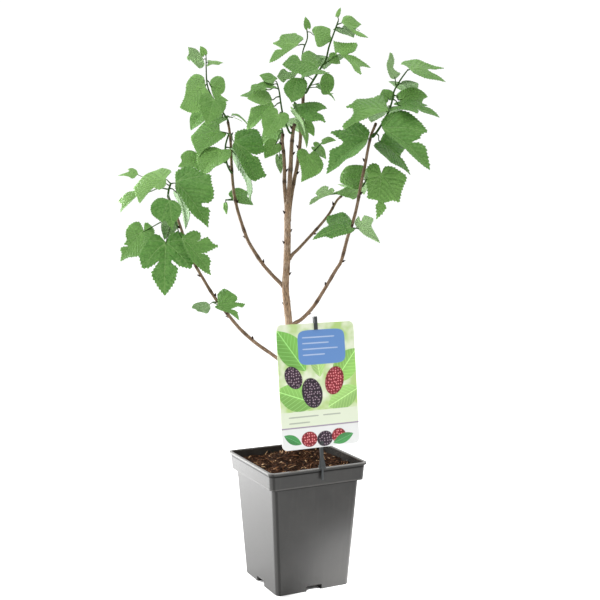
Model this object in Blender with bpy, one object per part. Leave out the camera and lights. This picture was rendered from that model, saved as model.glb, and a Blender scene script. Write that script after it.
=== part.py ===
"""Young black mulberry tree in a square nursery pot, with its plant label clipped on the rim.

Lengths are written in millimetres and turned into metres when an object is made. The pot stands on
z = 0 with its sides along X and Y and its front wall towards -Y. The tree has a view of its own:
x to the right, y away from the viewer and z up, turned in the pot by PLANT_TURN.
"""

import math
from collections import namedtuple

import bmesh
import bpy
from mathutils import Matrix, Vector
from mathutils.geometry import delaunay_2d_cdt

MM = 0.001
GAP = 0.3

# Pot
POT_HEIGHT = 158.0
RIM_SIDE = 134.0
COLLAR_TOP_SIDE = 130.5
COLLAR_FOOT_SIDE = 127.5
COLLAR_HEIGHT = 22.0
BODY_TOP_SIDE = 118.0
FOOT_SIDE = 100.0
LIP_HEIGHT = 2.6
WALL = 1.6
FLOOR = 2.0
CORNER = 7.0
NOTCH_WIDTH = 21.0
NOTCH_HEIGHT = 6.5
NOTCH_DEPTH = 30.0
DRAIN_RADIUS = 3.5
DRAIN_FROM_CENTRE = 24.5
CUT_THROUGH = 4.0

# Potting mix
SOIL_TOP = 148.0
SOIL_LUMP = 1.4
SOIL_CELLS = 16
MOUND_RISE = 12.0
MOUND_SPREAD = 21.0
MOUND_AT = (12.8, 31.0)
STEM_CLEARANCE = 0.6

# Plant label and its stake
CARD_WIDTH = 105.0
CARD_HEIGHT = 150.0
CARD_THICK = 0.6
CARD_CORNER = 7.0
CARD_FOOT_Z = 184.0
CARD_LEAN = 7.0
CARD_GAP = 0.3
STAKE_X = 2.0
STAKE_WIDTH = 4.5
STAKE_THICK = 1.5
HOOK_RISE = 8.0
HOOK_DROP = 8.0
HOLE_FROM_FOOT = 5.0
HOLE_CLEARANCE = 0.4
BUTTON_RADIUS = 1.5
BUTTON_HEAD_RADIUS = 2.6
BUTTON_HEAD_THICK = 1.2
CLIP_REACH = 14.5
CLIP_INSIDE = 6.5
SADDLE_THICK = 2.0
PRONG_WIDTH = 2.5
GUSSET_WIDTH = 10.0
GUSSET_TOP_WIDTH = 2.0
GUSSET_HEIGHT = 22.0
GUSSET_THICK = 1.4

# The tree's view: the distance and height from which its places were judged
PLANT_TURN = -26.1
VIEW_DISTANCE = 1290.0
VIEW_HEIGHT = 482.0
VIEW_SIDE = 4.6

# Leaves
BLADE_THICK = 0.85
PETIOLE_RADIUS = 0.75
PETIOLE_SINK = 3.0
SMALL_LEAF = 28.0
TOOTH = 0.045
TOOTH_AT = 0.72
LEAF_ARCH = 0.07
LEAF_WAVE = 0.022
RIM_DROOP = 0.05
BUD_LENGTH = 3.6
BUD_RADIUS = 1.15
BUD_SPACING = 34.0

Stem = namedtuple("Stem", "points thick thin")
Leaf = namedtuple("Leaf", "halves base tip width face fold at", defaults=(0.22, 1.0))
Shoot = namedtuple("Shoot", "name stem leaves")

# A half blade's outline from the petiole to the tip, in blade lengths: across, along.
# A point marked "lobe" or "notch" is a sharp end of a lobe or the bottom of a bay.
HALVES = {
    "plain": [(0.17, -0.16), (0.37, -0.09), (0.47, 0.12), (0.44, 0.38), (0.30, 0.64), (0.11, 0.86)],
    "lobe": [(0.17, -0.16), (0.38, -0.09), (0.48, 0.16), (0.47, 0.55, "lobe"), (0.14, 0.44, "notch"),
             (0.24, 0.66), (0.10, 0.87)],
    "two": [(0.16, -0.18), (0.50, -0.08, "lobe"), (0.35, 0.07, "notch"), (0.47, 0.22),
            (0.52, 0.52, "lobe"), (0.12, 0.42, "notch"), (0.22, 0.64), (0.09, 0.87)],
}

# Woody stems: points (x, z, depth) as seen against the trunk's plane, then the radius at each end
TRUNK = Stem([(-1, 92, 44), (-1.5, 150, 38), (-3, 205, 24), (-4.5, 240, 14), (-8, 310, 1), (-11, 345, 0),
              (-13.5, 372, 0), (-12, 400, 0), (-11, 430, 0), (-11, 458, 0), (-10.5, 478, 0)], 5.0, 4.0)
BRANCHES = {
    "left_top_stem": Stem([(-11, 452, 0), (-12.5, 475, 1), (-14.5, 500, 3), (-14.5, 520, 5),
                           (-15.5, 538, 8), (-17, 552, 11), (-16.5, 562, 12)], 2.6, 1.9),
    "middle_top_stem": Stem([(-10.5, 470, 0), (-8, 505, -3), (-6.5, 530, -5), (-5.5, 550, -7),
                             (-3.5, 568, -8), (-2, 574, -8)], 3.0, 2.0),
    "right_top_stem": Stem([(-10, 455, 0), (-7, 480, 4), (-3, 504, 8), (1, 522, 9), (3.5, 540, 9),
                            (5, 555, 9), (5.5, 570, 8), (7.5, 594, 8), (9, 611, 8), (9.5, 623, 8)],
                           2.7, 1.7),
    "lower_left_branch": Stem([(-6, 266, 9), (-25, 284, 0), (-50, 302, -10), (-70, 320, -17),
                               (-85, 338, -21), (-97, 353, -24), (-107, 368, -27), (-117, 385, -30),
                               (-126, 401, -32), (-134, 420, -34), (-141, 440, -36), (-147, 458, -38),
                               (-153, 472, -40), (-158, 484, -42)], 2.3, 1.5),
    "upper_left_branch": Stem([(-13, 370, 0), (-20, 378, 1), (-30, 388, 4), (-42, 402, 8),
                               (-52, 417, 12), (-60, 431, 15), (-67, 450, 19), (-73, 470, 23),
                               (-77, 490, 27), (-79, 510, 31), (-80, 530, 34), (-80.5, 548, 36),
                               (-82, 565, 39), (-84, 577, 40)], 2.5, 1.6),
    "lower_right_branch": Stem([(-8, 322, 0), (-1, 328, -1), (7, 333, -3), (21, 348, -6),
                                (35, 370, -9), (49, 394, -13), (56, 406, -15), (64, 436, -19),
                                (71, 457, -22), (76, 478, -25), (80, 501, -28), (85, 525, -31),
                                (88, 542, -33), (92, 560, -34), (98, 575, -34)], 2.5, 1.6),
    "middle_right_branch": Stem([(-9, 408, 0), (-4.5, 414, 2), (2, 420, 6), (16, 435, 16), (33, 454, 30),
                                 (42, 466, 40), (50, 480, 50), (56, 486, 55)], 2.1, 1.5),
}

# Green shoots with their leaves. A leaf gives its two half outlines, the petiole end and the tip
# (x, z, depth), its full width, the way its upper side looks (turn to the right, lift), how far the
# halves fold up, and where on the stem its petiole starts.
SHOOTS = [
    Shoot("leafy_shoot_lower_left",
          Stem([(-158.6, 486.2, -42.4), (-157.5, 494, -43), (-155, 501, -43)], 1.3, 1.0),
          [Leaf(("lobe", "lobe"), (-161, 508, -60), (-194, 477, -76), 56, (-25, 45)),
           Leaf(("lobe", "plain"), (-195, 513, -18), (-220, 511, -10), 22, (-30, 50), at=0.8),
           Leaf(("lobe", "lobe"), (-190, 491, -16), (-218, 466, -24), 34, (-40, 45), at=0.5),
           Leaf(("lobe", "lobe"), (-157, 481, -72), (-153, 444, -80), 38, (0, 15), at=0.1),
           Leaf(("plain", "lobe"), (-149, 503, -26), (-109, 447, -40), 72, (35, 40), 0.45),
           Leaf(("plain", "plain"), (-148, 492, -20), (-137, 445, -6), 28, (120, 35), at=0.6)]),
    Shoot("leafy_shoot_lower_spur",
          Stem([(-152, 463, -40), (-155, 461, -43), (-158, 458, -45)], 1.0, 0.8),
          [Leaf(("two", "two"), (-162, 429, -44), (-164, 362, -60), 64, (0, 18), at=0.1),
           Leaf(("lobe", "plain"), (-189, 443, -26), (-219, 405, -36), 46, (-20, 25), at=0.2),
           Leaf(("plain", "two"), (-142, 434, -58), (-106, 388, -58), 62, (25, 30), 0.3, at=0.1),
           Leaf(("plain", "plain"), (-155, 455, -24), (-164, 432, -20), 22, (180, 30), at=0.2)]),
    Shoot("leafy_shoot_lower_twig",
          Stem([(-99.5, 354, -27), (-102, 354, -31), (-104, 354, -36)], 0.9, 0.7),
          [Leaf(("lobe", "two"), (-108, 351, -42), (-131, 347, -52), 26, (150, 35)),
           Leaf(("plain", "two"), (-98, 351, -46), (-71, 331, -56), 46, (15, 35), 0.25)]),
    Shoot("leafy_shoot_left_spur",
          Stem([(-79, 481, 27.5), (-83, 481, 30), (-87, 481, 33)], 0.9, 0.7),
          [Leaf(("lobe", "lobe"), (-80, 483, 44), (-53, 475, 56), 30, (20, 40)),
           Leaf(("plain", "plain"), (-88, 476, 30), (-86, 463, 28), 7, (-30, 20))]),
    Shoot("leafy_shoot_upper_left_side",
          Stem([(-80.5, 515, 27.5), (-85, 524, 24), (-87, 536, 22), (-87, 548, 20), (-83, 562, 18)],
               1.1, 0.9),
          [Leaf(("lobe", "plain"), (-94, 566, 26), (-120, 534, 12), 66, (-20, 35)),
           Leaf(("plain", "plain"), (-92, 543, 14), (-117, 512, 4), 44, (-25, 30), at=0.6),
           Leaf(("plain", "plain"), (-118, 530, 30), (-146, 522, 24), 34, (-20, 30), at=0.3),
           Leaf(("plain", "lobe"), (-76, 553, -10), (-50, 504, -22), 74, (35, 40), 0.4),
           Leaf(("plain", "plain"), (-74, 545, 20), (-57, 480, 22), 28, (110, 30), at=0.7)]),
    Shoot("leafy_shoot_upper_left_top",
          Stem([(-84.6, 579.4, 40), (-94, 594, 36), (-104, 608, 31), (-109, 622, 27), (-110, 640, 24),
                (-110, 656, 22)], 1.2, 0.6),
          [Leaf(("two", "lobe"), (-113, 651, 14), (-134, 656, 6), 28, (170, 35), at=0.95),
           Leaf(("plain", "plain"), (-112, 658, 18), (-117, 668, 14), 10, (0, 30)),
           Leaf(("lobe", "plain"), (-107, 649, 28), (-89, 648, 32), 16, (60, 60), at=0.9),
           Leaf(("plain", "plain"), (-111, 619, 20), (-143, 594, 6), 54, (-15, 30), at=0.6),
           Leaf(("plain", "lobe"), (-105, 620, 36), (-83, 602, 30), 38, (20, 30), at=0.65),
           Leaf(("plain", "plain"), (-101, 604, -8), (-110, 573, -18), 36, (10, 15), at=0.4),
           Leaf(("plain", "plain"), (-114, 588, 56), (-130, 566, 54), 28, (-30, 20), at=0.2),
           Leaf(("plain", "lobe"), (-80, 583, 30), (-58, 571, 20), 34, (30, 55), 0.4, at=0.05),
           Leaf(("plain", "plain"), (-90, 583, 46), (-102, 569, 38), 24, (-30, 40), at=0.1)]),
    Shoot("leafy_shoot_centre_left",
          Stem([(-8.4, 564, -10.5), (-13, 575, -14), (-17, 588, -20), (-19, 600, -25), (-21, 614, -30),
                (-24, 625, -33)], 1.2, 0.7),
          [Leaf(("plain", "plain"), (-26, 627, -34), (-45, 633, -38), 15, (0, 50)),
           Leaf(("plain", "plain"), (-29, 621, -42), (-51, 619, -54), 15, (0, 45), at=0.95),
           Leaf(("plain", "lobe"), (-35, 616, -12), (-69, 608, -8), 26, (-10, 50), at=0.85),
           Leaf(("plain", "plain"), (-29, 603, -38), (-60, 605, -56), 40, (-10, 35), at=0.7),
           Leaf(("lobe", "plain"), (-27, 596, -24), (-61, 567, -28), 46, (-25, 40), at=0.6),
           Leaf(("plain", "plain"), (-22, 586, -60), (-38, 558, -68), 34, (-10, 15), at=0.4)]),
    Shoot("leafy_shoot_centre_back",
          Stem([(-16.7, 564.6, 13), (-18, 569, 16), (-19, 573, 20)], 1.0, 0.8),
          [Leaf(("plain", "lobe"), (-23, 567, 32), (-43, 549, 38), 36, (-25, 30), at=0.6),
           Leaf(("plain", "plain"), (-25, 550, 18), (-39, 532, 14), 26, (-10, 25), at=0.1),
           Leaf(("plain", "plain"), (-21, 534, 30), (-19, 513, 30), 11, (180, 15), at=0.2),
           Leaf(("lobe", "lobe"), (-12, 577, 38), (8, 562, 70), 44, (160, 50))]),
    Shoot("leafy_shoot_top_right",
          Stem([(12, 612, 5), (16, 619, 3), (21, 627, 1), (29, 640, -2), (36, 651, -4), (40, 667, -6),
                (45, 681, -7), (49, 692, -8), (51.5, 699, -8)], 1.3, 0.7),
          [Leaf(("lobe", "two"), (48, 657, -14), (91, 642, -24), 56, (25, 45), at=0.45),
           Leaf(("plain", "lobe"), (55, 697, -13), (88, 678, -22), 32, (20, 45), at=0.9),
           Leaf(("plain", "plain"), (50, 704, -8), (54, 714, -6), 5, (20, 30)),
           Leaf(("plain", "plain"), (42, 654, 2), (54, 647, 6), 20, (30, 30), at=0.42),
           Leaf(("two", "plain"), (27, 641, -16), (-17, 646, -30), 52, (-10, 40), at=0.3),
           Leaf(("plain", "plain"), (29, 625, 8), (46, 611, 4), 40, (15, 20), at=0.15),
           Leaf(("lobe", "plain"), (28, 619, 20), (48, 602, 28), 22, (60, 50), at=0.1),
           Leaf(("plain", "plain"), (33, 637, -40), (5, 629, -54), 22, (-20, 65), at=0.35),
           Leaf(("plain", "plain"), (3, 637, 2), (-24, 632, -2), 22, (180, 35), at=0.25),
           Leaf(("plain", "plain"), (2, 630, -26), (-6, 600, -38), 30, (-5, 15), at=0.05),
           Leaf(("lobe", "lobe"), (38, 655, 22), (34, 640, 56), 46, (190, 50), at=0.5),
           Leaf(("plain", "plain"), (56, 690, 8), (70, 678, 34), 28, (165, 45), at=0.85)]),
    Shoot("leafy_shoot_top",
          Stem([(9.5, 625.4, 8.5), (8, 645, 16), (8, 661, 22), (13.5, 677, 27), (12.5, 690, 28),
                (10.8, 700, 28)], 0.9, 0.6),
          [Leaf(("lobe", "plain"), (2, 670, 18), (-33, 648, 8), 46, (-15, 40), at=0.5),
           Leaf(("plain", "plain"), (14, 690, 25), (11, 703, 22), 9, (0, 20), at=0.85),
           Leaf(("plain", "plain"), (22, 681, 20), (44, 675, 12), 38, (5, 30), at=0.72)]),
    Shoot("leafy_shoot_centre",
          Stem([(5, 592, 4), (2, 596, -4), (-2, 600, -10)], 1.0, 0.8),
          [Leaf(("two", "plain"), (-5, 598, -16), (38, 593, -26), 50, (10, 40)),
           Leaf(("plain", "plain"), (-3, 588, -56), (12, 559, -64), 26, (100, 35), at=0.9),
           Leaf(("plain", "plain"), (11, 575, -2), (22, 559, -6), 17, (20, 30), at=0.3),
           Leaf(("plain", "plain"), (5, 575, -22), (13, 545, -24), 20, (60, 30), at=0.6)]),
    Shoot("leafy_shoot_centre_twig",
          Stem([(6, 530, 7), (12, 534, 3), (20, 539, -1), (27, 546, -4), (32, 552, -6)], 0.9, 0.6),
          [Leaf(("plain", "plain"), (16, 537, -10), (6, 503, -22), 38, (5, 15), at=0.4),
           Leaf(("plain", "plain"), (23, 546, 6), (37, 531, 12), 24, (30, 45), at=0.6),
           Leaf(("plain", "plain"), (33, 553, -8), (49, 554, -14), 13, (0, 45))]),
    Shoot("leafy_shoot_right_top",
          Stem([(95, 559, -37), (104, 572, -36), (112, 586, -34), (117, 600, -31), (120, 614, -28),
                (128, 628, -26), (136, 639, -25)], 1.3, 0.7),
          [Leaf(("lobe", "lobe"), (138, 641, -28), (183, 625, -38), 40, (25, 50)),
           Leaf(("plain", "plain"), (121, 628, -16), (114, 660, -8), 16, (180, 10), at=0.72),
           Leaf(("lobe", "plain"), (113, 590, -50), (58, 567, -70), 74, (-45, 50), 0.45, at=0.45),
           Leaf(("plain", "plain"), (113, 604, 4), (106, 616, 14), 20, (-20, 30), at=0.55),
           Leaf(("plain", "plain"), (127, 603, 2), (161, 607, -6), 36, (10, 40), at=0.6),
           Leaf(("two", "lobe"), (126, 596, -26), (176, 582, -42), 40, (30, 55), at=0.55),
           Leaf(("plain", "lobe"), (106, 569, -54), (165, 518, -74), 80, (40, 45), 0.5, at=0.2),
           Leaf(("lobe", "plain"), (88, 556, -50), (37, 513, -62), 80, (-40, 45), 0.45, at=0.05),
           Leaf(("plain", "plain"), (103, 553, -16), (141, 512, -20), 44, (40, 40), 0.3, at=0.05),
           Leaf(("lobe", "lobe"), (108, 592, -2), (92, 576, 42), 50, (190, 45), at=0.45),
           Leaf(("plain", "plain"), (128, 624, 4), (142, 606, 36), 38, (150, 45), at=0.75)]),
    Shoot("leafy_shoot_right_middle",
          Stem([(82, 498, -24), (85, 503, -18), (88, 508, -14)], 1.0, 0.8),
          [Leaf(("lobe", "lobe"), (105, 514, -42), (99, 457, -52), 54, (5, 18)),
           Leaf(("plain", "plain"), (82, 508, 0), (54, 503, 8), 32, (-10, 35), at=0.7),
           Leaf(("plain", "plain"), (93, 515, 12), (88, 499, 20), 20, (170, 20), at=0.9)]),
    Shoot("leafy_shoot_middle_branch",
          Stem([(57.8, 487.8, 56.4), (61, 491, 58), (65, 494, 60)], 1.0, 0.8),
          [Leaf(("lobe", "plain"), (45, 489, 28), (16, 475, 22), 30, (180, 40), at=0.2),
           Leaf(("plain", "plain"), (78, 494, 46), (44, 489, 36), 26, (-10, 50)),
           Leaf(("plain", "plain"), (66, 499, 72), (84, 488, 104), 42, (150, 40), at=0.9)]),
    Shoot("leafy_shoot_right_spur",
          Stem([(67, 441, -24), (70, 443, -28), (72, 446, -31)], 0.9, 0.7),
          [Leaf(("lobe", "plain"), (67, 448, -42), (20, 432, -56), 46, (-25, 45)),
           Leaf(("lobe", "plain"), (75, 447, -6), (104, 428, 4), 40, (165, 30), at=0.8)]),
]


def seen(x, z, depth):
    """A place in the tree's view: x and z as they look against the trunk's plane, pushed to its depth."""
    reach = 1 + depth / VIEW_DISTANCE
    return Vector((VIEW_SIDE + (x - VIEW_SIDE) * reach, depth, VIEW_HEIGHT + (z - VIEW_HEIGHT) * reach))


def smooth_path(points, steps):
    """Points on a Catmull-Rom curve through the given ones, with so many steps to each stretch."""
    ends = [2 * points[0] - points[1]] + list(points) + [2 * points[-1] - points[-2]]
    path = []
    for a, b, c, d in zip(ends, ends[1:], ends[2:], ends[3:]):
        for i in range(steps):
            t = i / steps
            path.append(0.5 * (2 * b + t * (c - a) + t * t * (2 * a - 5 * b + 4 * c - d)
                               + t * t * t * (3 * b - a - 3 * c + d)))
    return path + [points[-1]]


def point_along(path, share):
    """The place and direction at that share of a path's number of stretches."""
    at = min(max(share, 0.0), 1.0) * (len(path) - 1)
    i = min(int(at), len(path) - 2)
    step = path[i + 1] - path[i]
    return path[i] + step * (at - i), step.normalized()


def material(name, colour, roughness, metallic=0.0):
    made = bpy.data.materials.new(name)
    made.use_nodes = True
    shader = made.node_tree.nodes["Principled BSDF"]
    shader.inputs["Base Color"].default_value = (*colour, 1)
    shader.inputs["Roughness"].default_value = roughness
    shader.inputs["Metallic"].default_value = metallic
    return made


def collection(name):
    made = bpy.data.collections.new(name)
    bpy.context.scene.collection.children.link(made)
    return made


def place(name, mesh, where):
    """Links an object for the mesh, whose points are in metres in the row frame."""
    made = bpy.data.objects.new(name, mesh)
    where.objects.link(made)
    return made


def mesh_of(shape, turn=Matrix.Identity(4)):
    """A mesh in metres, with its faces pointing out, from a bmesh in millimetres turned by a matrix."""
    bmesh.ops.recalc_face_normals(shape, faces=shape.faces)
    if shape.calc_volume(signed=True) < 0:
        bmesh.ops.reverse_faces(shape, faces=shape.faces)
    shape.transform(Matrix.Scale(MM, 4) @ turn)
    mesh = bpy.data.meshes.new("shape")
    shape.to_mesh(mesh)
    shape.free()
    return mesh


def combine(obj, others, operation, solver="EXACT"):
    """Joins others to obj or cuts them from it, and removes them. The lumpy mix, whose top meets its
    walls at very flat angles, comes out closed only from the MANIFOLD solver."""
    group = bpy.data.collections.new("operands")
    for other in others:
        group.objects.link(other)
    change = obj.modifiers.new(operation.lower(), "BOOLEAN")
    change.operation = operation
    change.operand_type = "COLLECTION"
    change.collection = group
    change.solver = solver
    bpy.context.view_layer.update()
    graph = bpy.context.evaluated_depsgraph_get()
    mesh = bpy.data.meshes.new_from_object(obj.evaluated_get(graph))
    obj.modifiers.clear()
    obj.data = mesh
    for other in others:
        bpy.data.objects.remove(other)
    bpy.data.collections.remove(group)
    return obj


def tube(name, path, thick, thin, bevel_resolution, where, turn=Matrix.Identity(4)):
    """A round stem along a path, made as a curve and then turned into a closed mesh."""
    curve = bpy.data.curves.new(name, "CURVE")
    curve.dimensions = "3D"
    curve.bevel_depth = 1.0
    curve.bevel_resolution = bevel_resolution
    curve.use_fill_caps = True
    spline = curve.splines.new("POLY")
    spline.points.add(len(path) - 1)
    for i, (point, at) in enumerate(zip(spline.points, path)):
        point.co = (*at, 1)
        point.radius = thick + (thin - thick) * i / (len(path) - 1)
    guide = bpy.data.objects.new(name, curve)
    where.objects.link(guide)
    graph = bpy.context.evaluated_depsgraph_get()
    mesh = bpy.data.meshes.new_from_object(guide.evaluated_get(graph))
    bpy.data.objects.remove(guide)
    shape = bmesh.new()
    shape.from_mesh(mesh)
    bmesh.ops.remove_doubles(shape, verts=shape.verts, dist=1e-4)
    return place(name, mesh_of(shape, turn), where)


def frustum(name, low_side, high_side, low, high, corner, where):
    """A square block between two heights, wider at one end, with rounded upright corners."""
    shape = bmesh.new()
    bmesh.ops.create_cone(shape, cap_ends=True, segments=4, radius1=low_side / math.sqrt(2),
                          radius2=high_side / math.sqrt(2), depth=high - low)
    bmesh.ops.rotate(shape, verts=shape.verts, matrix=Matrix.Rotation(math.radians(45), 3, "Z"))
    bmesh.ops.translate(shape, verts=shape.verts, vec=(0, 0, (high + low) / 2))
    upright = [e for e in shape.edges if abs(e.verts[0].co.z - e.verts[1].co.z) > 0.5 * (high - low)]
    bmesh.ops.bevel(shape, geom=upright, offset=corner, segments=4, profile=0.5, affect="EDGES")
    return place(name, mesh_of(shape), where)


def block(name, low, high, where, turn=Matrix.Identity(4)):
    shape = bmesh.new()
    bmesh.ops.create_cube(shape, size=1)
    low, high = Vector(low), Vector(high)
    bmesh.ops.scale(shape, verts=shape.verts, vec=high - low)
    bmesh.ops.translate(shape, verts=shape.verts, vec=(low + high) / 2)
    return place(name, mesh_of(shape, turn), where)


def rod(name, radius, low, high, sides, where, turn=Matrix.Identity(4)):
    """A round rod on the Z axis of the given frame."""
    shape = bmesh.new()
    bmesh.ops.create_cone(shape, cap_ends=True, segments=sides, radius1=radius, radius2=radius,
                          depth=high - low)
    bmesh.ops.translate(shape, verts=shape.verts, vec=(0, 0, (low + high) / 2))
    return place(name, mesh_of(shape, turn), where)


def quarter_turn(side):
    return Matrix.Rotation(math.radians(90 * side), 4, "Z")


def drain_boxes(grow, low, high, where):
    """One box on each side of the pot's foot, for the arch over a drain notch."""
    half = NOTCH_WIDTH / 2 + grow
    near = -FOOT_SIDE / 2 - CUT_THROUGH
    far = NOTCH_DEPTH + grow - FOOT_SIDE / 2
    return [block("drain", (-half, near, low), (half, far, high), where, quarter_turn(side))
            for side in range(4)]


def body_side(z):
    """The pot body's outer width at a height under the collar."""
    return FOOT_SIDE + (BODY_TOP_SIDE - FOOT_SIDE) * z / (POT_HEIGHT - COLLAR_HEIGHT)


def collar_side(z):
    """The collar's outer width at a height."""
    share = (z - POT_HEIGHT + COLLAR_HEIGHT) / COLLAR_HEIGHT
    return COLLAR_FOOT_SIDE + (COLLAR_TOP_SIDE - COLLAR_FOOT_SIDE) * share


def cavity(inset, low, high, where):
    """The space inside the pot between two heights, drawn in from the inner walls by inset."""
    shoulder = POT_HEIGHT - COLLAR_HEIGHT + WALL + inset
    step = 2 * (WALL + inset)
    corner = CORNER - WALL - inset
    overlap = shoulder + WALL
    lower = frustum("lower", body_side(low) - step, body_side(overlap) - step, low, overlap, corner, where)
    upper = frustum("upper", collar_side(shoulder) - step, collar_side(high) - step, shoulder, high, corner,
                    where)
    return lower, upper


def trimmed(boxes, keep):
    """The boxes, cut down to what lies inside keep, which is removed."""
    for box in boxes:
        trim = box.modifiers.new("trim", "BOOLEAN")
        trim.operation = "INTERSECT"
        trim.object = keep
        trim.solver = "EXACT"
    bpy.context.view_layer.update()
    graph = bpy.context.evaluated_depsgraph_get()
    for box in boxes:
        box.data = bpy.data.meshes.new_from_object(box.evaluated_get(graph))
        box.modifiers.clear()
    bpy.data.objects.remove(keep)
    return boxes


def make_pot(where, tools):
    """The thin-walled pot: a tapered body, a wider collar, a lip, and a drain notch under each wall."""
    collar_foot = POT_HEIGHT - COLLAR_HEIGHT
    body_top = collar_foot + WALL
    pot = frustum("pot", FOOT_SIDE, body_side(body_top), 0, body_top, CORNER, where)
    collar = frustum("collar", COLLAR_FOOT_SIDE, COLLAR_TOP_SIDE, collar_foot, POT_HEIGHT, CORNER, tools)
    lip = frustum("lip", RIM_SIDE, RIM_SIDE, POT_HEIGHT - LIP_HEIGHT, POT_HEIGHT, CORNER, tools)
    combine(pot, [collar, lip], "UNION")
    combine(pot, cavity(0, FLOOR, POT_HEIGHT + CUT_THROUGH, tools), "DIFFERENCE")
    arch_top = NOTCH_HEIGHT + WALL
    keep_top = 2 * arch_top
    inside = FOOT_SIDE - WALL
    keep = frustum("keep", inside, body_side(keep_top) - WALL, FLOOR / 4, keep_top, CORNER, tools)
    combine(pot, trimmed(drain_boxes(WALL, FLOOR / 2, arch_top, tools), keep), "UNION")
    holes = [rod("hole", DRAIN_RADIUS, -CUT_THROUGH, arch_top + CUT_THROUGH, 12, tools,
                 quarter_turn(side) @ Matrix.Translation((0, -DRAIN_FROM_CENTRE, 0))) for side in range(4)]
    combine(pot, drain_boxes(0, -CUT_THROUGH, NOTCH_HEIGHT, tools), "DIFFERENCE")
    combine(pot, holes, "DIFFERENCE")
    return pot


def soil_height(x, y):
    """The lumpy top of the potting mix, heaped up round the trunk, in millimetres."""
    lumps = (math.sin(0.31 * x + 1.3 * math.sin(0.17 * y)) + math.sin(0.27 * y + 1.1 * math.sin(0.21 * x))
             + 0.7 * math.sin(0.62 * x - 0.45 * y) + 0.6 * math.sin(0.55 * y + 0.71 * x + 1.0))
    off = math.hypot(x - MOUND_AT[0], y - MOUND_AT[1]) / MOUND_SPREAD
    return SOIL_TOP + SOIL_LUMP * lumps / 2 + MOUND_RISE * math.exp(-off * off)


def above_soil(where):
    """A block whose underside is the lumpy top of the mix."""
    shape = bmesh.new()
    bmesh.ops.create_grid(shape, x_segments=SOIL_CELLS, y_segments=SOIL_CELLS, size=RIM_SIDE / 2)
    for vertex in shape.verts:
        vertex.co.z = soil_height(vertex.co.x, vertex.co.y)
    lid = bmesh.ops.extrude_face_region(shape, geom=shape.faces[:])
    for part in lid["geom"]:
        if isinstance(part, bmesh.types.BMVert):
            part.co.z = 2 * POT_HEIGHT
    return place("above", mesh_of(shape), where)


def make_soil(where, tools):
    """The potting mix, which fills the pot up to a lumpy top and has a plain hole for the trunk."""
    lower, upper = cavity(GAP, FLOOR + GAP, POT_HEIGHT + 2 * CUT_THROUGH, tools)
    soil = combine(lower, [upper], "UNION")
    soil.name = "potting_mix"
    tools.objects.unlink(soil)
    where.objects.link(soil)
    grow = WALL + GAP
    boxes = drain_boxes(grow, -CUT_THROUGH, NOTCH_HEIGHT + grow, tools)
    path = [seen(*p) for p in TRUNK.points[:3]]
    path[0] -= Vector((0, 0, STEM_CLEARANCE))
    radius = TRUNK.thick + STEM_CLEARANCE
    hole = tube("stem_hole", path, radius, radius, 2, tools, plant_turn())
    combine(soil, [above_soil(tools), hole] + boxes, "DIFFERENCE", "MANIFOLD")
    return soil


def plant_turn():
    return Matrix.Rotation(math.radians(PLANT_TURN), 4, "Z")


def card_frame():
    """The card's frame: x along its width, y up its face, z out of its printed side."""
    lean = math.radians(CARD_LEAN)
    strip = CARD_THICK / 2 + CARD_GAP + STAKE_THICK / 2
    clip = -RIM_SIDE / 2 - GAP - STAKE_THICK / 2
    foot = clip - strip / math.cos(lean) + (CARD_FOOT_Z - POT_HEIGHT) * math.tan(lean)
    return Matrix.Translation((STAKE_X, foot, CARD_FOOT_Z)) @ Matrix.Rotation(math.radians(90) - lean, 4, "X")


def rounded_card(name, width, height, corner, thick, where, turn):
    """A flat outline with round corners, extruded to its thickness."""
    curve = bpy.data.curves.new(name, "CURVE")
    curve.dimensions = "2D"
    curve.fill_mode = "BOTH"
    curve.extrude = thick / 2
    spline = curve.splines.new("POLY")
    points = []
    for right, up, start in ((1, 1, 0), (-1, 1, 90), (-1, -1, 180), (1, -1, 270)):
        centre = Vector((right * (width / 2 - corner), height / 2 + up * (height / 2 - corner)))
        for step in range(5):
            angle = math.radians(start + 22.5 * step)
            points.append(centre + corner * Vector((math.cos(angle), math.sin(angle))))
    spline.points.add(len(points) - 1)
    for point, at in zip(spline.points, points):
        point.co = (at.x, at.y, 0, 1)
    spline.use_cyclic_u = True
    return solid_from_curve(name, curve, where, turn)


def solid_from_curve(name, curve, where, turn):
    guide = bpy.data.objects.new(name, curve)
    where.objects.link(guide)
    bpy.context.view_layer.update()
    graph = bpy.context.evaluated_depsgraph_get()
    mesh = bpy.data.meshes.new_from_object(guide.evaluated_get(graph))
    bpy.data.objects.remove(guide)
    shape = bmesh.new()
    shape.from_mesh(mesh)
    bmesh.ops.remove_doubles(shape, verts=shape.verts, dist=1e-4)
    return place(name, mesh_of(shape, turn), where)


def make_card(where, tools):
    """The printed card, with a slot for the hook and a hole for the button."""
    card = rounded_card("label_card", CARD_WIDTH, CARD_HEIGHT, CARD_CORNER, CARD_THICK, where, card_frame())
    at_button = card_frame() @ Matrix.Translation((0, HOLE_FROM_FOOT, 0))
    button = rod("hole", BUTTON_RADIUS + HOLE_CLEARANCE, -CUT_THROUGH, CUT_THROUGH, 16, tools, at_button)
    half = STAKE_WIDTH / 2 + HOLE_CLEARANCE
    hook = CARD_HEIGHT - HOOK_DROP
    slot = block("slot", (-half, hook - HOLE_CLEARANCE, -CUT_THROUGH),
                 (half, hook + STAKE_THICK + HOLE_CLEARANCE, CUT_THROUGH), tools, card_frame())
    combine(card, [button, slot], "DIFFERENCE")
    return card


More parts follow.
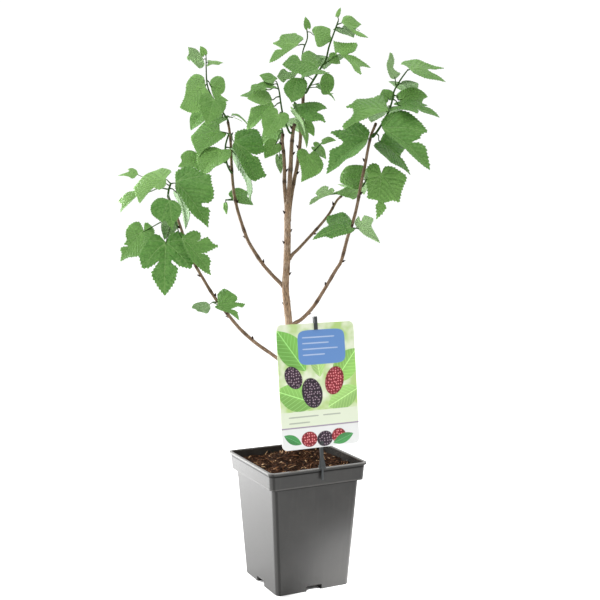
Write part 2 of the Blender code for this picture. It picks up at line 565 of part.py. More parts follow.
def strip_parts(frame, foot, tools):
    """The hook over the card's top edge and the button through its foot, in the card's frame."""
    half = STAKE_WIDTH / 2
    top = CARD_HEIGHT + HOOK_RISE
    hook = CARD_HEIGHT - HOOK_DROP
    inner = CARD_THICK / 2 + CARD_GAP
    outer = inner + STAKE_THICK
    bridge = block("bridge", (-half, top - STAKE_THICK, -outer), (half, top, outer), tools, frame)
    drop = block("drop", (-half, hook, inner), (half, top, outer), tools, frame)
    tongue = block("tongue", (-half, hook, -outer), (half, hook + STAKE_THICK, outer), tools, frame)
    at_button = frame @ Matrix.Translation((0, HOLE_FROM_FOOT, 0))
    pin = rod("pin", BUTTON_RADIUS, -outer + STAKE_THICK / 2, inner + BUTTON_HEAD_THICK / 2, 12, tools,
              at_button)
    head = rod("head", BUTTON_HEAD_RADIUS, inner, inner + BUTTON_HEAD_THICK, 16, tools, at_button)
    gusset = gusset_rib(foot, -inner - STAKE_THICK / 2, frame, tools)
    return [bridge, drop, tongue, pin, head, gusset]


def clip_parts(tools):
    """The saddle over the pot's rim, with a prong down the outside and a shorter one inside."""
    low, high = POT_HEIGHT + GAP, POT_HEIGHT + GAP + SADDLE_THICK
    outer = -RIM_SIDE / 2 - GAP
    inner = -collar_side(POT_HEIGHT - CLIP_INSIDE) / 2 + WALL + GAP
    left, right = STAKE_X - STAKE_WIDTH / 2, STAKE_X + STAKE_WIDTH / 2
    saddle = block("saddle", (left, outer - STAKE_THICK, low), (right, inner + STAKE_THICK, high), tools)
    prong = block("prong", (STAKE_X - PRONG_WIDTH / 2, outer - STAKE_THICK, POT_HEIGHT - CLIP_REACH),
                  (STAKE_X + PRONG_WIDTH / 2, outer, high - SADDLE_THICK / 2), tools)
    inside = block("inside", (left, inner, POT_HEIGHT - CLIP_INSIDE),
                   (right, inner + STAKE_THICK, high - SADDLE_THICK / 2), tools)
    return [saddle, prong, inside]


def make_stake(where, tools):
    """The moulded label holder: a clip on the rim, a strip up the card's back, a hook and a button."""
    frame = card_frame()
    half = STAKE_WIDTH / 2
    back = -CARD_THICK / 2 - CARD_GAP
    foot = -(CARD_FOOT_Z - POT_HEIGHT) / math.cos(math.radians(CARD_LEAN)) - STAKE_THICK / 2
    stake = block("label_stake", (-half, foot, back - STAKE_THICK), (half, CARD_HEIGHT + HOOK_RISE, back),
                  where, frame)
    combine(stake, strip_parts(frame, foot, tools) + clip_parts(tools), "UNION")
    return stake


def gusset_rib(foot, depth, frame, tools):
    """The flared foot of the strip, a wedge that widens towards the rim."""
    shape = bmesh.new()
    bmesh.ops.create_cone(shape, cap_ends=True, segments=4, radius1=GUSSET_WIDTH / math.sqrt(2),
                          radius2=GUSSET_TOP_WIDTH / math.sqrt(2), depth=GUSSET_HEIGHT)
    bmesh.ops.rotate(shape, verts=shape.verts, matrix=Matrix.Rotation(math.radians(45), 3, "Z"))
    bmesh.ops.scale(shape, verts=shape.verts, vec=(1, GUSSET_THICK / GUSSET_WIDTH, 1))
    bmesh.ops.rotate(shape, verts=shape.verts, matrix=Matrix.Rotation(math.radians(-90), 3, "X"))
    bmesh.ops.translate(shape, verts=shape.verts, vec=(0, foot + GUSSET_HEIGHT / 2, depth))
    return place("gusset", mesh_of(shape, frame), tools)


def bud_place(path, share, turn, number):
    """Where a bud sits on a stem's axis, the stem's direction there, and the side the bud is on."""
    at, along = point_along(path, share)
    flat = along.cross(Vector((0, 1, 0))).normalized()
    side = flat * (-1) ** turn + Vector((0, 0.5 * math.sin(2.4 * turn + number), 0))
    return at, along, side.normalized()


def bud(at, along, side, where):
    """A pointed bud lying forward on a stem."""
    lean = (along + 0.9 * side).normalized()
    shape = bmesh.new()
    bmesh.ops.create_cone(shape, cap_ends=True, segments=4, radius1=BUD_RADIUS, radius2=0.0, depth=BUD_LENGTH)
    turn = Vector((0, 0, 1)).rotation_difference(lean).to_matrix().to_4x4()
    middle = at + lean * BUD_LENGTH * 0.5
    return place("bud", mesh_of(shape, plant_turn() @ Matrix.Translation(middle) @ turn), where)


def make_wood(where, tools):
    """The trunk, its branches and their buds, grown as one piece."""
    wood = tube("woody_stem", smooth_path([seen(*p) for p in TRUNK.points], 1), TRUNK.thick, TRUNK.thin, 2,
                where, plant_turn())
    others = []
    for number, (name, stem) in enumerate(BRANCHES.items()):
        path = smooth_path([seen(*p) for p in stem.points], 2 if len(stem.points) < 8 else 1)
        others.append(tube(name, path, stem.thick, stem.thin, 1, tools, plant_turn()))
        length = sum((b - a).length for a, b in zip(path, path[1:]))
        count = int(length / BUD_SPACING)
        for i in range(1, count):
            at, along, side = bud_place(path, (i + 0.4) / count, i, number)
            others.append(bud(at + side * stem.thin / 2, along, side, tools))
    combine(wood, others, "UNION")
    return wood


def tidy_half(name, length):
    """The points of a half outline, with teeth between them where the blade is large enough."""
    half = HALVES[name]
    if length < SMALL_LEAF and name == "plain":
        half = half[::2]
    keys = [(0.0, 0.0)] + half + [(0.0, 1.0)]
    points = []
    for number, (a, b) in enumerate(zip(keys, keys[1:])):
        if number:
            points.append((a[0], a[1]))
        toothed = 1 < number < len(keys) - 2 and "notch" not in (a[2:] + b[2:])
        if not toothed or length < SMALL_LEAF:
            continue
        run = Vector((b[0] - a[0], b[1] - a[1]))
        out = Vector((run.y, -run.x)).normalized()
        points.append(tuple(Vector(a[:2]) + TOOTH_AT * run + TOOTH * out))
    return points


def outline(leaf, length):
    """The blade's outline in blade lengths, from the petiole round by the right half to the left."""
    left, right = leaf.halves
    widen = leaf.width / length / 0.96
    points = [(0.0, 0.0)]
    points += [(widen * x, y) for x, y in tidy_half(right, length)]
    points.append((0.0, 1.0))
    points += [(-widen * x, y) for x, y in reversed(tidy_half(left, length))]
    return points, widen


def blade_frame(leaf):
    """The blade's length and frame: its petiole end, across, along and out of its upper side."""
    base, tip = seen(*leaf.base), seen(*leaf.tip)
    along = (tip - base).normalized()
    turn, lift = (math.radians(angle) for angle in leaf.face)
    face = Vector((math.sin(turn) * math.cos(lift), -math.cos(turn) * math.cos(lift), math.sin(lift)))
    out = (face - along * face.dot(along)).normalized()
    return (tip - base).length, base, out.cross(along), along, out


def blade_rise(leaf, number, x, y, widen):
    """How far a point of the blade stands out of its plane, in blade lengths."""
    side = abs(x) / (0.5 * widen)
    arch = LEAF_ARCH * 4 * y * (1 - y)
    wave = LEAF_WAVE * math.sin(7.5 * y + 2.4 * number + (1.6 if x > 0 else 0))
    return leaf.fold * abs(x) + arch + (wave - RIM_DROOP) * side * side


def blade(leaf, number):
    """The points and faces of one leaf blade, in millimetres in the tree's view."""
    length, base, across, along, out = blade_frame(leaf)
    rim, widen = outline(leaf, length)
    flat = [Vector(p) for p in rim]
    tip = flat.index(Vector((0.0, 1.0)))
    rib = []
    if length >= SMALL_LEAF:
        rib = [len(flat), len(flat) + 1]
        flat += [Vector((0.0, 0.3)), Vector((0.0, 0.64))]
    chain = [0] + rib + [tip]
    edge = [list(range(len(rim)))]
    flat, _, faces, _, _, _ = delaunay_2d_cdt(flat, list(zip(chain, chain[1:])), edge, 1, 1e-6)
    points = []
    for under in (0, BLADE_THICK):
        for p in flat:
            rise = blade_rise(leaf, number, p.x, p.y, widen)
            points.append(base + length * (across * p.x + along * p.y + out * rise) - out * under)
    count = len(flat)
    solid = [tuple(f) for f in faces]
    solid += [tuple(i + count for i in reversed(f)) for f in faces]
    once = {}
    for f in faces:
        for a, b in zip(f, list(f[1:]) + [f[0]]):
            once[(a, b)] = True
    for a, b in once:
        if (b, a) not in once:
            solid.append((b, a, a + count))
            solid.append((b, a + count, b + count))
    return points, solid


def blade_object(leaf, number, where):
    points, faces = blade(leaf, number)
    shape = bmesh.new()
    vertices = [shape.verts.new(p) for p in points]
    for face in faces:
        shape.faces.new([vertices[i] for i in face])
    return place("blade", mesh_of(shape, plant_turn()), where)


def petiole_path(leaf, number, stem_path):
    """The stalk, which leaves the stem aslant and ends sunk in the underside of the blade's midrib."""
    length, base, _, along, out = blade_frame(leaf)
    start, forward = point_along(stem_path, leaf.at)
    sink = min(PETIOLE_SINK, 0.2 * length)
    rise = length * blade_rise(leaf, number, 0.0, sink / length, 1.0)
    end = base + along * sink + out * (rise - BLADE_THICK)
    way = end - start
    aside = way - forward * way.dot(forward)
    first = start + 0.15 * way + 0.12 * way.length * forward + 0.16 * way.length * aside.normalized()
    last = end - along * min(0.35 * way.length, 2.5 * sink) - out * 0.06 * way.length
    return [start, first, last, end]


def make_shoot(shoot, first_number, where, tools):
    """A green shoot: its stem, petioles and blades, joined into one body."""
    path = smooth_path([seen(*p) for p in shoot.stem.points], 1)
    stem = tube(shoot.name, path, shoot.stem.thick, shoot.stem.thin, 1, where, plant_turn())
    others = []
    for i, leaf in enumerate(shoot.leaves):
        number = first_number + i
        size = 1.0 if blade_frame(leaf)[0] >= SMALL_LEAF else 0.75
        stalk = petiole_path(leaf, number, path)
        others.append(tube("petiole", stalk, PETIOLE_RADIUS * size, PETIOLE_RADIUS * size * 0.85, 0, tools,
                           plant_turn()))
        others.append(blade_object(leaf, number, tools))
    combine(stem, others, "UNION")
    return stem


def give(obj, finish):
    obj.data.materials.clear()
    obj.data.materials.append(finish)


def main():
    for obj in list(bpy.data.objects):
        bpy.data.objects.remove(obj)
    parts = collection("potted_mulberry")
    tools = collection("cutters")
    give(make_pot(parts, tools), material("pot_plastic", (0.16, 0.16, 0.155), 0.5))
    give(make_soil(parts, tools), material("potting_mix", (0.07, 0.035, 0.02), 0.95))
    give(make_card(parts, tools), material("printed_card", (0.55, 0.70, 0.42), 0.35))
    give(make_stake(parts, tools), material("stake_plastic", (0.10, 0.11, 0.11), 0.45))
    give(make_wood(parts, tools), material("bark", (0.30, 0.19, 0.12), 0.8))
    leaf_green = material("leaf", (0.16, 0.33, 0.08), 0.5)
    number = 0
    for shoot in SHOOTS:
        give(make_shoot(shoot, number, parts, tools), leaf_green)
        number += len(shoot.leaves)
    bpy.data.collections.remove(tools)


if __name__ == "__main__":
    main()
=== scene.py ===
import math
import random
from collections import namedtuple

import bmesh
import bpy
import numpy as np
from mathutils import Matrix, Vector, noise
from mathutils.geometry import delaunay_2d_cdt


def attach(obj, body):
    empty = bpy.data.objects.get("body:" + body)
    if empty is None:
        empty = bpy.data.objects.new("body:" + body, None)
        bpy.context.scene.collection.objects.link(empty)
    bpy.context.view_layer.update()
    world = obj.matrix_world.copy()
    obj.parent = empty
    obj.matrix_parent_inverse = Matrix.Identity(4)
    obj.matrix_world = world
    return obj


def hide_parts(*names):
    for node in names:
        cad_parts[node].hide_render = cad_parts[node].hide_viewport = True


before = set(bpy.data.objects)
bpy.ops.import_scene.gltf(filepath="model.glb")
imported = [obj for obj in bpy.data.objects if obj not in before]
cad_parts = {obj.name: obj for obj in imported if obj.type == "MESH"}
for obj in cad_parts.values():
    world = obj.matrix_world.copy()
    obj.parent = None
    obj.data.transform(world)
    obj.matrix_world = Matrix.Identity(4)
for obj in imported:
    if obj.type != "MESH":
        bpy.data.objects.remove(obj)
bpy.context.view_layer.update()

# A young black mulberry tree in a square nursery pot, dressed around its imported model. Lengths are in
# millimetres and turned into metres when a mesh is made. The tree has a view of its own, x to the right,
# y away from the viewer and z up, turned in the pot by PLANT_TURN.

MM = 0.001

# Pot, mix and label, as the solids have them
POT_HEIGHT = 158.0
COLLAR_TOP_SIDE = 130.5
COLLAR_FOOT_SIDE = 127.5
COLLAR_HEIGHT = 22.0
RIM_SIDE = 134.0
WALL = 1.6
CORNER = 7.0
GAP = 0.3
SOIL_TOP = 148.0
MOUND_RISE = 12.0
MOUND_SPREAD = 21.0
MOUND_AT = (12.8, 31.0)
CARD_WIDTH = 105.0
CARD_HEIGHT = 150.0
CARD_THICK = 0.6
CARD_CORNER = 7.0
CARD_FOOT_Z = 184.0
CARD_LEAN = 7.0
CARD_GAP = 0.3
STAKE_X = 2.0
STAKE_WIDTH = 4.5
STAKE_THICK = 1.5
HOOK_DROP = 8.0
HOLE_FROM_FOOT = 5.0
HOLE_CLEARANCE = 0.4
BUTTON_RADIUS = 1.5

# The tree's view, from which its places are given
PLANT_TURN = -26.1
VIEW_DISTANCE = 1290.0
VIEW_HEIGHT = 482.0
VIEW_SIDE = 4.6
EYE_PITCH = 5.546
EYE_LENS = 62.3
EYE_FILM = 36.0
PICTURE_SIDE = 600.0

# Leaves
LEAF_ARCH = 0.07
LEAF_WAVE = 0.022
WAVES = 7.5
WAVE_SHIFT = 2.4
FAR_SIDE_SHIFT = 1.6
MOST_DROOP = 1.4
WIDEST = 1.1
RIM_DROOP = 0.05
BLADE_TOP = 0.2
BLADE_THICK = 0.38
PETIOLE_RADIUS = 0.75
PETIOLE_SINK = 3.0
STEM_SWELL = 1.2
SMALL_LEAF = 28.0

Stem = namedtuple("Stem", "points thick thin")
Leaf = namedtuple("Leaf", "halves base tip width face fold at", defaults=(0.22, 1.0))
Shoot = namedtuple("Shoot", "name stem leaves")

# A half blade's outline from the petiole to the tip, in blade lengths: across, along.
# A point marked "lobe" or "notch" is a sharp end of a lobe or the bottom of a bay.
HALVES = {
    "plain": [(0.15, -0.15), (0.35, -0.13), (0.48, 0.06), (0.48, 0.32), (0.36, 0.58), (0.16, 0.81)],
    "lobe": [(0.15, -0.15), (0.36, -0.12), (0.49, 0.08), (0.52, 0.33), (0.47, 0.57, "lobe"), (0.29, 0.54),
             (0.13, 0.43, "notch"), (0.20, 0.53), (0.25, 0.66), (0.13, 0.85)],
    "two": [(0.14, -0.16), (0.32, -0.19), (0.50, -0.08, "lobe"), (0.42, 0.04), (0.33, 0.08, "notch"),
            (0.44, 0.13), (0.53, 0.31), (0.52, 0.55, "lobe"), (0.30, 0.52), (0.12, 0.41, "notch"),
            (0.19, 0.52), (0.24, 0.66), (0.12, 0.85)],
}

# Woody stems: points (x, z, depth) as seen against the trunk's plane, then the radius at each end
TRUNK = Stem([(-1, 92, 44), (-1.5, 150, 38), (-3, 205, 24), (-4.5, 240, 14), (-8, 310, 1), (-11, 345, 0),
              (-13.5, 372, 0), (-12, 400, 0), (-11, 430, 0), (-11, 458, 0), (-10.5, 478, 0)], 5.0, 4.0)
BRANCHES = {
    "left_top_stem": Stem([(-11, 452, 0), (-12.5, 475, 1), (-14.5, 500, 3), (-14.5, 520, 5),
                           (-15.5, 538, 8), (-17, 552, 11), (-16.5, 562, 12)], 2.6, 1.9),
    "middle_top_stem": Stem([(-10.5, 470, 0), (-8, 505, -3), (-6.5, 530, -5), (-5.5, 550, -7),
                             (-3.5, 568, -8), (-2, 574, -8)], 3.0, 2.0),
    "right_top_stem": Stem([(-10, 455, 0), (-7, 480, 4), (-3, 504, 8), (1, 522, 9), (3.5, 540, 9),
                            (5, 555, 9), (5.5, 570, 8), (7.5, 594, 8), (9, 611, 8), (9.5, 623, 8)],
                           2.7, 1.7),
    "lower_left_branch": Stem([(-6, 266, 9), (-25, 284, 0), (-50, 302, -10), (-70, 320, -17),
                               (-85, 338, -21), (-97, 353, -24), (-107, 368, -27), (-117, 385, -30),
                               (-126, 401, -32), (-134, 420, -34), (-141, 440, -36), (-147, 458, -38),
                               (-153, 472, -40), (-158, 484, -42)], 2.3, 1.5),
    "upper_left_branch": Stem([(-13, 370, 0), (-20, 378, 1), (-30, 388, 4), (-42, 402, 8),
                               (-52, 417, 12), (-60, 431, 15), (-67, 450, 19), (-73, 470, 23),
                               (-77, 490, 27), (-79, 510, 31), (-80, 530, 34), (-80.5, 548, 36),
                               (-82, 565, 39), (-84, 577, 40)], 2.5, 1.6),
    "lower_right_branch": Stem([(-8, 322, 0), (-1, 328, -1), (7, 333, -3), (21, 348, -6),
                                (35, 370, -9), (49, 394, -13), (56, 406, -15), (64, 436, -19),
                                (71, 457, -22), (76, 478, -25), (80, 501, -28), (85, 525, -31),
                                (88, 542, -33), (92, 560, -34), (98, 575, -34)], 2.5, 1.6),
    "middle_right_branch": Stem([(-9, 408, 0), (-4.5, 414, 2), (2, 420, 6), (16, 435, 16), (33, 454, 30),
                                 (42, 466, 40), (50, 480, 50), (56, 486, 55)], 2.1, 1.5),
}

# Green shoots with their leaves. A leaf gives its two half outlines, the petiole end and the tip
# (x, z, depth), its full width, the way its upper side looks (turn to the right, lift), how far the
# halves fold up, and where on the stem its petiole starts.
SHOOTS = [
    Shoot("leafy_shoot_lower_left",
          Stem([(-158.6, 486.2, -42.4), (-157.5, 494, -43), (-155, 501, -43)], 1.3, 1.0),
          [Leaf(("lobe", "lobe"), (-161, 508, -60), (-194, 477, -76), 56, (-25, 45)),
           Leaf(("lobe", "plain"), (-195, 513, -18), (-220, 511, -10), 22, (-30, 50), at=0.8),
           Leaf(("lobe", "lobe"), (-190, 491, -16), (-218, 466, -24), 34, (-40, 45), at=0.5),
           Leaf(("lobe", "lobe"), (-157, 481, -72), (-153, 444, -80), 38, (0, 15), at=0.1),
           Leaf(("plain", "lobe"), (-149, 503, -26), (-109, 447, -40), 72, (35, 40), 0.45),
           Leaf(("plain", "plain"), (-148, 492, -20), (-137, 445, -6), 28, (120, 35), at=0.6)]),
    Shoot("leafy_shoot_lower_spur",
          Stem([(-152, 463, -40), (-155, 461, -43), (-158, 458, -45)], 1.0, 0.8),
          [Leaf(("two", "two"), (-162, 429, -44), (-164, 362, -60), 64, (0, 18), at=0.1),
           Leaf(("lobe", "plain"), (-189, 443, -26), (-219, 405, -36), 46, (-20, 25), at=0.2),
           Leaf(("plain", "two"), (-142, 434, -58), (-106, 388, -58), 62, (25, 30), 0.3, at=0.1),
           Leaf(("plain", "plain"), (-155, 455, -24), (-164, 432, -20), 22, (180, 30), at=0.2)]),
    Shoot("leafy_shoot_lower_twig",
          Stem([(-99.5, 354, -27), (-102, 354, -31), (-104, 354, -36)], 0.9, 0.7),
          [Leaf(("lobe", "two"), (-108, 351, -42), (-131, 347, -52), 26, (150, 35)),
           Leaf(("plain", "two"), (-98, 351, -46), (-71, 331, -56), 46, (15, 35), 0.25)]),
    Shoot("leafy_shoot_left_spur",
          Stem([(-79, 481, 27.5), (-83, 481, 30), (-87, 481, 33)], 0.9, 0.7),
          [Leaf(("lobe", "lobe"), (-80, 483, 44), (-53, 475, 56), 30, (20, 40)),
           Leaf(("plain", "plain"), (-88, 476, 30), (-86, 463, 28), 7, (-30, 20))]),
    Shoot("leafy_shoot_upper_left_side",
          Stem([(-80.5, 515, 27.5), (-85, 524, 24), (-87, 536, 22), (-87, 548, 20), (-83, 562, 18)],
               1.1, 0.9),
          [Leaf(("lobe", "plain"), (-94, 566, 26), (-120, 534, 12), 66, (-20, 35)),
           Leaf(("plain", "plain"), (-92, 543, 14), (-117, 512, 4), 44, (-25, 30), at=0.6),
           Leaf(("plain", "plain"), (-118, 530, 30), (-146, 522, 24), 34, (-20, 30), at=0.3),
           Leaf(("plain", "lobe"), (-76, 553, -10), (-50, 504, -22), 74, (35, 40), 0.4),
           Leaf(("plain", "plain"), (-74, 545, 20), (-57, 480, 22), 28, (110, 30), at=0.7)]),
    Shoot("leafy_shoot_upper_left_top",
          Stem([(-84.6, 579.4, 40), (-94, 594, 36), (-104, 608, 31), (-109, 622, 27), (-110, 640, 24),
                (-110, 656, 22)], 1.2, 0.6),
          [Leaf(("two", "lobe"), (-113, 651, 14), (-134, 656, 6), 28, (170, 35), at=0.95),
           Leaf(("plain", "plain"), (-112, 658, 18), (-117, 668, 14), 10, (0, 30)),
           Leaf(("lobe", "plain"), (-107, 649, 28), (-89, 648, 32), 16, (60, 60), at=0.9),
           Leaf(("plain", "plain"), (-111, 619, 20), (-143, 594, 6), 54, (-15, 30), at=0.6),
           Leaf(("plain", "lobe"), (-105, 620, 36), (-83, 602, 30), 38, (20, 30), at=0.65),
           Leaf(("plain", "plain"), (-101, 604, -8), (-110, 573, -18), 36, (10, 15), at=0.4),
           Leaf(("plain", "plain"), (-114, 588, 56), (-130, 566, 54), 28, (-30, 20), at=0.2),
           Leaf(("plain", "lobe"), (-80, 583, 30), (-58, 571, 20), 34, (30, 55), 0.4, at=0.05),
           Leaf(("plain", "plain"), (-90, 583, 46), (-102, 569, 38), 24, (-30, 40), at=0.1)]),
    Shoot("leafy_shoot_centre_left",
          Stem([(-8.4, 564, -10.5), (-13, 575, -14), (-17, 588, -20), (-19, 600, -25), (-21, 614, -30),
                (-24, 625, -33)], 1.2, 0.7),
          [Leaf(("plain", "plain"), (-26, 627, -34), (-45, 633, -38), 15, (0, 50)),
           Leaf(("plain", "plain"), (-29, 621, -42), (-51, 619, -54), 15, (0, 45), at=0.95),
           Leaf(("plain", "lobe"), (-35, 616, -12), (-69, 608, -8), 26, (-10, 50), at=0.85),
           Leaf(("plain", "plain"), (-29, 603, -38), (-60, 605, -56), 40, (-10, 35), at=0.7),
           Leaf(("lobe", "plain"), (-27, 596, -24), (-61, 567, -28), 46, (-25, 40), at=0.6),
           Leaf(("plain", "plain"), (-22, 586, -60), (-38, 558, -68), 34, (-10, 15), at=0.4)]),
    Shoot("leafy_shoot_centre_back",
          Stem([(-16.7, 564.6, 13), (-18, 569, 16), (-19, 573, 20)], 1.0, 0.8),
          [Leaf(("plain", "lobe"), (-23, 567, 32), (-43, 549, 38), 36, (-25, 30), at=0.6),
           Leaf(("plain", "plain"), (-25, 550, 18), (-39, 532, 14), 26, (-10, 25), at=0.1),
           Leaf(("plain", "plain"), (-21, 534, 30), (-19, 513, 30), 11, (180, 15), at=0.2),
           Leaf(("lobe", "lobe"), (-12, 577, 38), (8, 562, 70), 44, (160, 50))]),
    Shoot("leafy_shoot_top_right",
          Stem([(12, 612, 5), (16, 619, 3), (21, 627, 1), (29, 640, -2), (36, 651, -4), (40, 667, -6),
                (45, 681, -7), (49, 692, -8), (51.5, 699, -8)], 1.3, 0.7),
          [Leaf(("lobe", "two"), (48, 657, -14), (91, 642, -24), 56, (25, 45), at=0.45),
           Leaf(("plain", "lobe"), (55, 697, -13), (88, 678, -22), 32, (20, 45), at=0.9),
           Leaf(("plain", "plain"), (50, 704, -8), (54, 714, -6), 5, (20, 30)),
           Leaf(("plain", "plain"), (42, 654, 2), (54, 647, 6), 20, (30, 30), at=0.42),
           Leaf(("two", "plain"), (27, 641, -16), (-17, 646, -30), 52, (-10, 40), at=0.3),
           Leaf(("plain", "plain"), (29, 625, 8), (46, 611, 4), 40, (15, 20), at=0.15),
           Leaf(("lobe", "plain"), (28, 619, 20), (48, 602, 28), 22, (60, 50), at=0.1),
           Leaf(("plain", "plain"), (33, 637, -40), (5, 629, -54), 22, (-20, 65), at=0.35),
           Leaf(("plain", "plain"), (3, 637, 2), (-24, 632, -2), 22, (180, 35), at=0.25),
           Leaf(("plain", "plain"), (2, 630, -26), (-6, 600, -38), 30, (-5, 15), at=0.05),
           Leaf(("lobe", "lobe"), (38, 655, 22), (34, 640, 56), 46, (190, 50), at=0.5),
           Leaf(("plain", "plain"), (56, 690, 8), (70, 678, 34), 28, (165, 45), at=0.85)]),
    Shoot("leafy_shoot_top",
          Stem([(9.5, 625.4, 8.5), (8, 645, 16), (8, 661, 22), (13.5, 677, 27), (12.5, 690, 28),
                (10.8, 700, 28)], 0.9, 0.6),
          [Leaf(("lobe", "plain"), (2, 670, 18), (-33, 648, 8), 46, (-15, 40), at=0.5),
           Leaf(("plain", "plain"), (14, 690, 25), (11, 703, 22), 9, (0, 20), at=0.85),
           Leaf(("plain", "plain"), (22, 681, 20), (44, 675, 12), 38, (5, 30), at=0.72)]),
    Shoot("leafy_shoot_centre",
          Stem([(5, 592, 4), (2, 596, -4), (-2, 600, -10)], 1.0, 0.8),
          [Leaf(("two", "plain"), (-5, 598, -16), (38, 593, -26), 50, (10, 40)),
           Leaf(("plain", "plain"), (-3, 588, -56), (12, 559, -64), 26, (100, 35), at=0.9),
           Leaf(("plain", "plain"), (11, 575, -2), (22, 559, -6), 17, (20, 30), at=0.3),
           Leaf(("plain", "plain"), (5, 575, -22), (13, 545, -24), 20, (60, 30), at=0.6)]),
    Shoot("leafy_shoot_centre_twig",
          Stem([(6, 530, 7), (12, 534, 3), (20, 539, -1), (27, 546, -4), (32, 552, -6)], 0.9, 0.6),
          [Leaf(("plain", "plain"), (16, 537, -10), (6, 503, -22), 38, (5, 15), at=0.4),
           Leaf(("plain", "plain"), (23, 546, 6), (37, 531, 12), 24, (30, 45), at=0.6),
           Leaf(("plain", "plain"), (33, 553, -8), (49, 554, -14), 13, (0, 45))]),
    Shoot("leafy_shoot_right_top",
          Stem([(95, 559, -37), (104, 572, -36), (112, 586, -34), (117, 600, -31), (120, 614, -28),
                (128, 628, -26), (136, 639, -25)], 1.3, 0.7),
          [Leaf(("lobe", "lobe"), (138, 641, -28), (183, 625, -38), 40, (25, 50)),
           Leaf(("plain", "plain"), (121, 628, -16), (114, 660, -8), 16, (180, 10), at=0.72),
           Leaf(("lobe", "plain"), (113, 590, -50), (58, 567, -70), 74, (-38, 26), 0.45, at=0.45),
           Leaf(("plain", "plain"), (113, 604, 4), (106, 616, 14), 20, (-20, 30), at=0.55),
           Leaf(("plain", "plain"), (127, 603, 2), (161, 607, -6), 36, (10, 40), at=0.6),
           Leaf(("two", "lobe"), (126, 596, -26), (176, 582, -42), 40, (30, 55), at=0.55),
           Leaf(("plain", "lobe"), (106, 569, -54), (165, 518, -74), 80, (36, 30), 0.4, at=0.2),
           Leaf(("lobe", "plain"), (88, 556, -50), (37, 513, -62), 80, (-40, 45), 0.45, at=0.05),
           Leaf(("plain", "plain"), (103, 553, -16), (141, 512, -20), 44, (40, 40), 0.3, at=0.05),
           Leaf(("lobe", "lobe"), (108, 592, -2), (92, 576, 42), 50, (190, 45), at=0.45),
           Leaf(("plain", "plain"), (128, 624, 4), (142, 606, 36), 38, (150, 45), at=0.75)]),
    Shoot("leafy_shoot_right_middle",
          Stem([(82, 498, -24), (85, 503, -18), (88, 508, -14)], 1.0, 0.8),
          [Leaf(("lobe", "lobe"), (105, 514, -42), (99, 457, -52), 54, (5, 18)),
           Leaf(("plain", "plain"), (82, 508, 0), (54, 503, 8), 32, (-10, 35), at=0.7),
           Leaf(("plain", "plain"), (93, 515, 12), (88, 499, 20), 20, (170, 20), at=0.9)]),
    Shoot("leafy_shoot_middle_branch",
          Stem([(57.8, 487.8, 56.4), (61, 491, 58), (65, 494, 60)], 1.0, 0.8),
          [Leaf(("lobe", "plain"), (45, 489, 28), (16, 475, 22), 30, (180, 40), at=0.2),
           Leaf(("plain", "plain"), (78, 494, 46), (44, 489, 36), 26, (-10, 50)),
           Leaf(("plain", "plain"), (66, 499, 72), (84, 488, 104), 42, (150, 40), at=0.9)]),
    Shoot("leafy_shoot_right_spur",
          Stem([(67, 441, -24), (70, 443, -28), (72, 446, -31)], 0.9, 0.7),
          [Leaf(("lobe", "plain"), (67, 448, -42), (20, 432, -56), 46, (-25, 45)),
           Leaf(("lobe", "plain"), (75, 447, -6), (104, 428, 4), 40, (165, 30), at=0.8)]),
]


def seen(x, z, depth):
    """A place in the tree's view: x and z as they look against the trunk's plane, pushed to its depth."""
    reach = 1 + depth / VIEW_DISTANCE
    return Vector((VIEW_SIDE + (x - VIEW_SIDE) * reach, depth, VIEW_HEIGHT + (z - VIEW_HEIGHT) * reach))


def smooth_path(points, steps):
    """Points on a Catmull-Rom curve through the given ones, with so many steps to each stretch."""
    ends = [2 * points[0] - points[1]] + list(points) + [2 * points[-1] - points[-2]]
    path = []
    for a, b, c, d in zip(ends, ends[1:], ends[2:], ends[3:]):
        for i in range(steps):
            t = i / steps
            path.append(0.5 * (2 * b + t * (c - a) + t * t * (2 * a - 5 * b + 4 * c - d)
                               + t * t * t * (3 * b - a - 3 * c + d)))
    return path + [points[-1]]


def point_along(path, share):
    """The place and direction at that share of a path's number of stretches."""
    at = min(max(share, 0.0), 1.0) * (len(path) - 1)
    i = min(int(at), len(path) - 2)
    step = path[i + 1] - path[i]
    return path[i] + step * (at - i), step.normalized()


class Making:
    """Points and faces of a piece in the making, in millimetres, with the attributes of every point."""

    def __init__(self, *names):
        self.points = []
        self.faces = []
        self.values = {name: [] for name in names}

    def add(self, points, faces, **values):
        start = len(self.points)
        self.points += points
        self.faces += [[start + i for i in face] for face in faces]
        for name, kept in self.values.items():
            given = values.get(name, 0.0)
            kept += list(given) if isinstance(given, list) else [given] * len(points)

    def piece(self, name, finish, turn):
        """A smooth-shaded object whose points are in metres in the row frame."""
        mesh = bpy.data.meshes.new(name)
        matrix = Matrix.Scale(MM, 4) @ turn
        mesh.from_pydata([matrix @ p for p in self.points], [], self.faces)
        for key, kept in self.values.items():
            if isinstance(kept[0], Vector):
                stored = mesh.attributes.new(key, "FLOAT_VECTOR", "POINT")
                stored.data.foreach_set("vector", [x for place in kept for x in place])
            else:
                stored = mesh.attributes.new(key, "FLOAT", "POINT")
                stored.data.foreach_set("value", kept)
        mesh.shade_smooth()
        mesh.materials.append(finish)
        return placed(name, mesh)


def placed(name, data):
    """A new object in the scene."""
    made = bpy.data.objects.new(name, data)
    bpy.context.scene.collection.objects.link(made)
    return made


def plant_turn():
    return Matrix.Rotation(math.radians(PLANT_TURN), 4, "Z")


SEAM_SIDE = (0.31, -0.95, 0.05)
END_RISE = 0.4


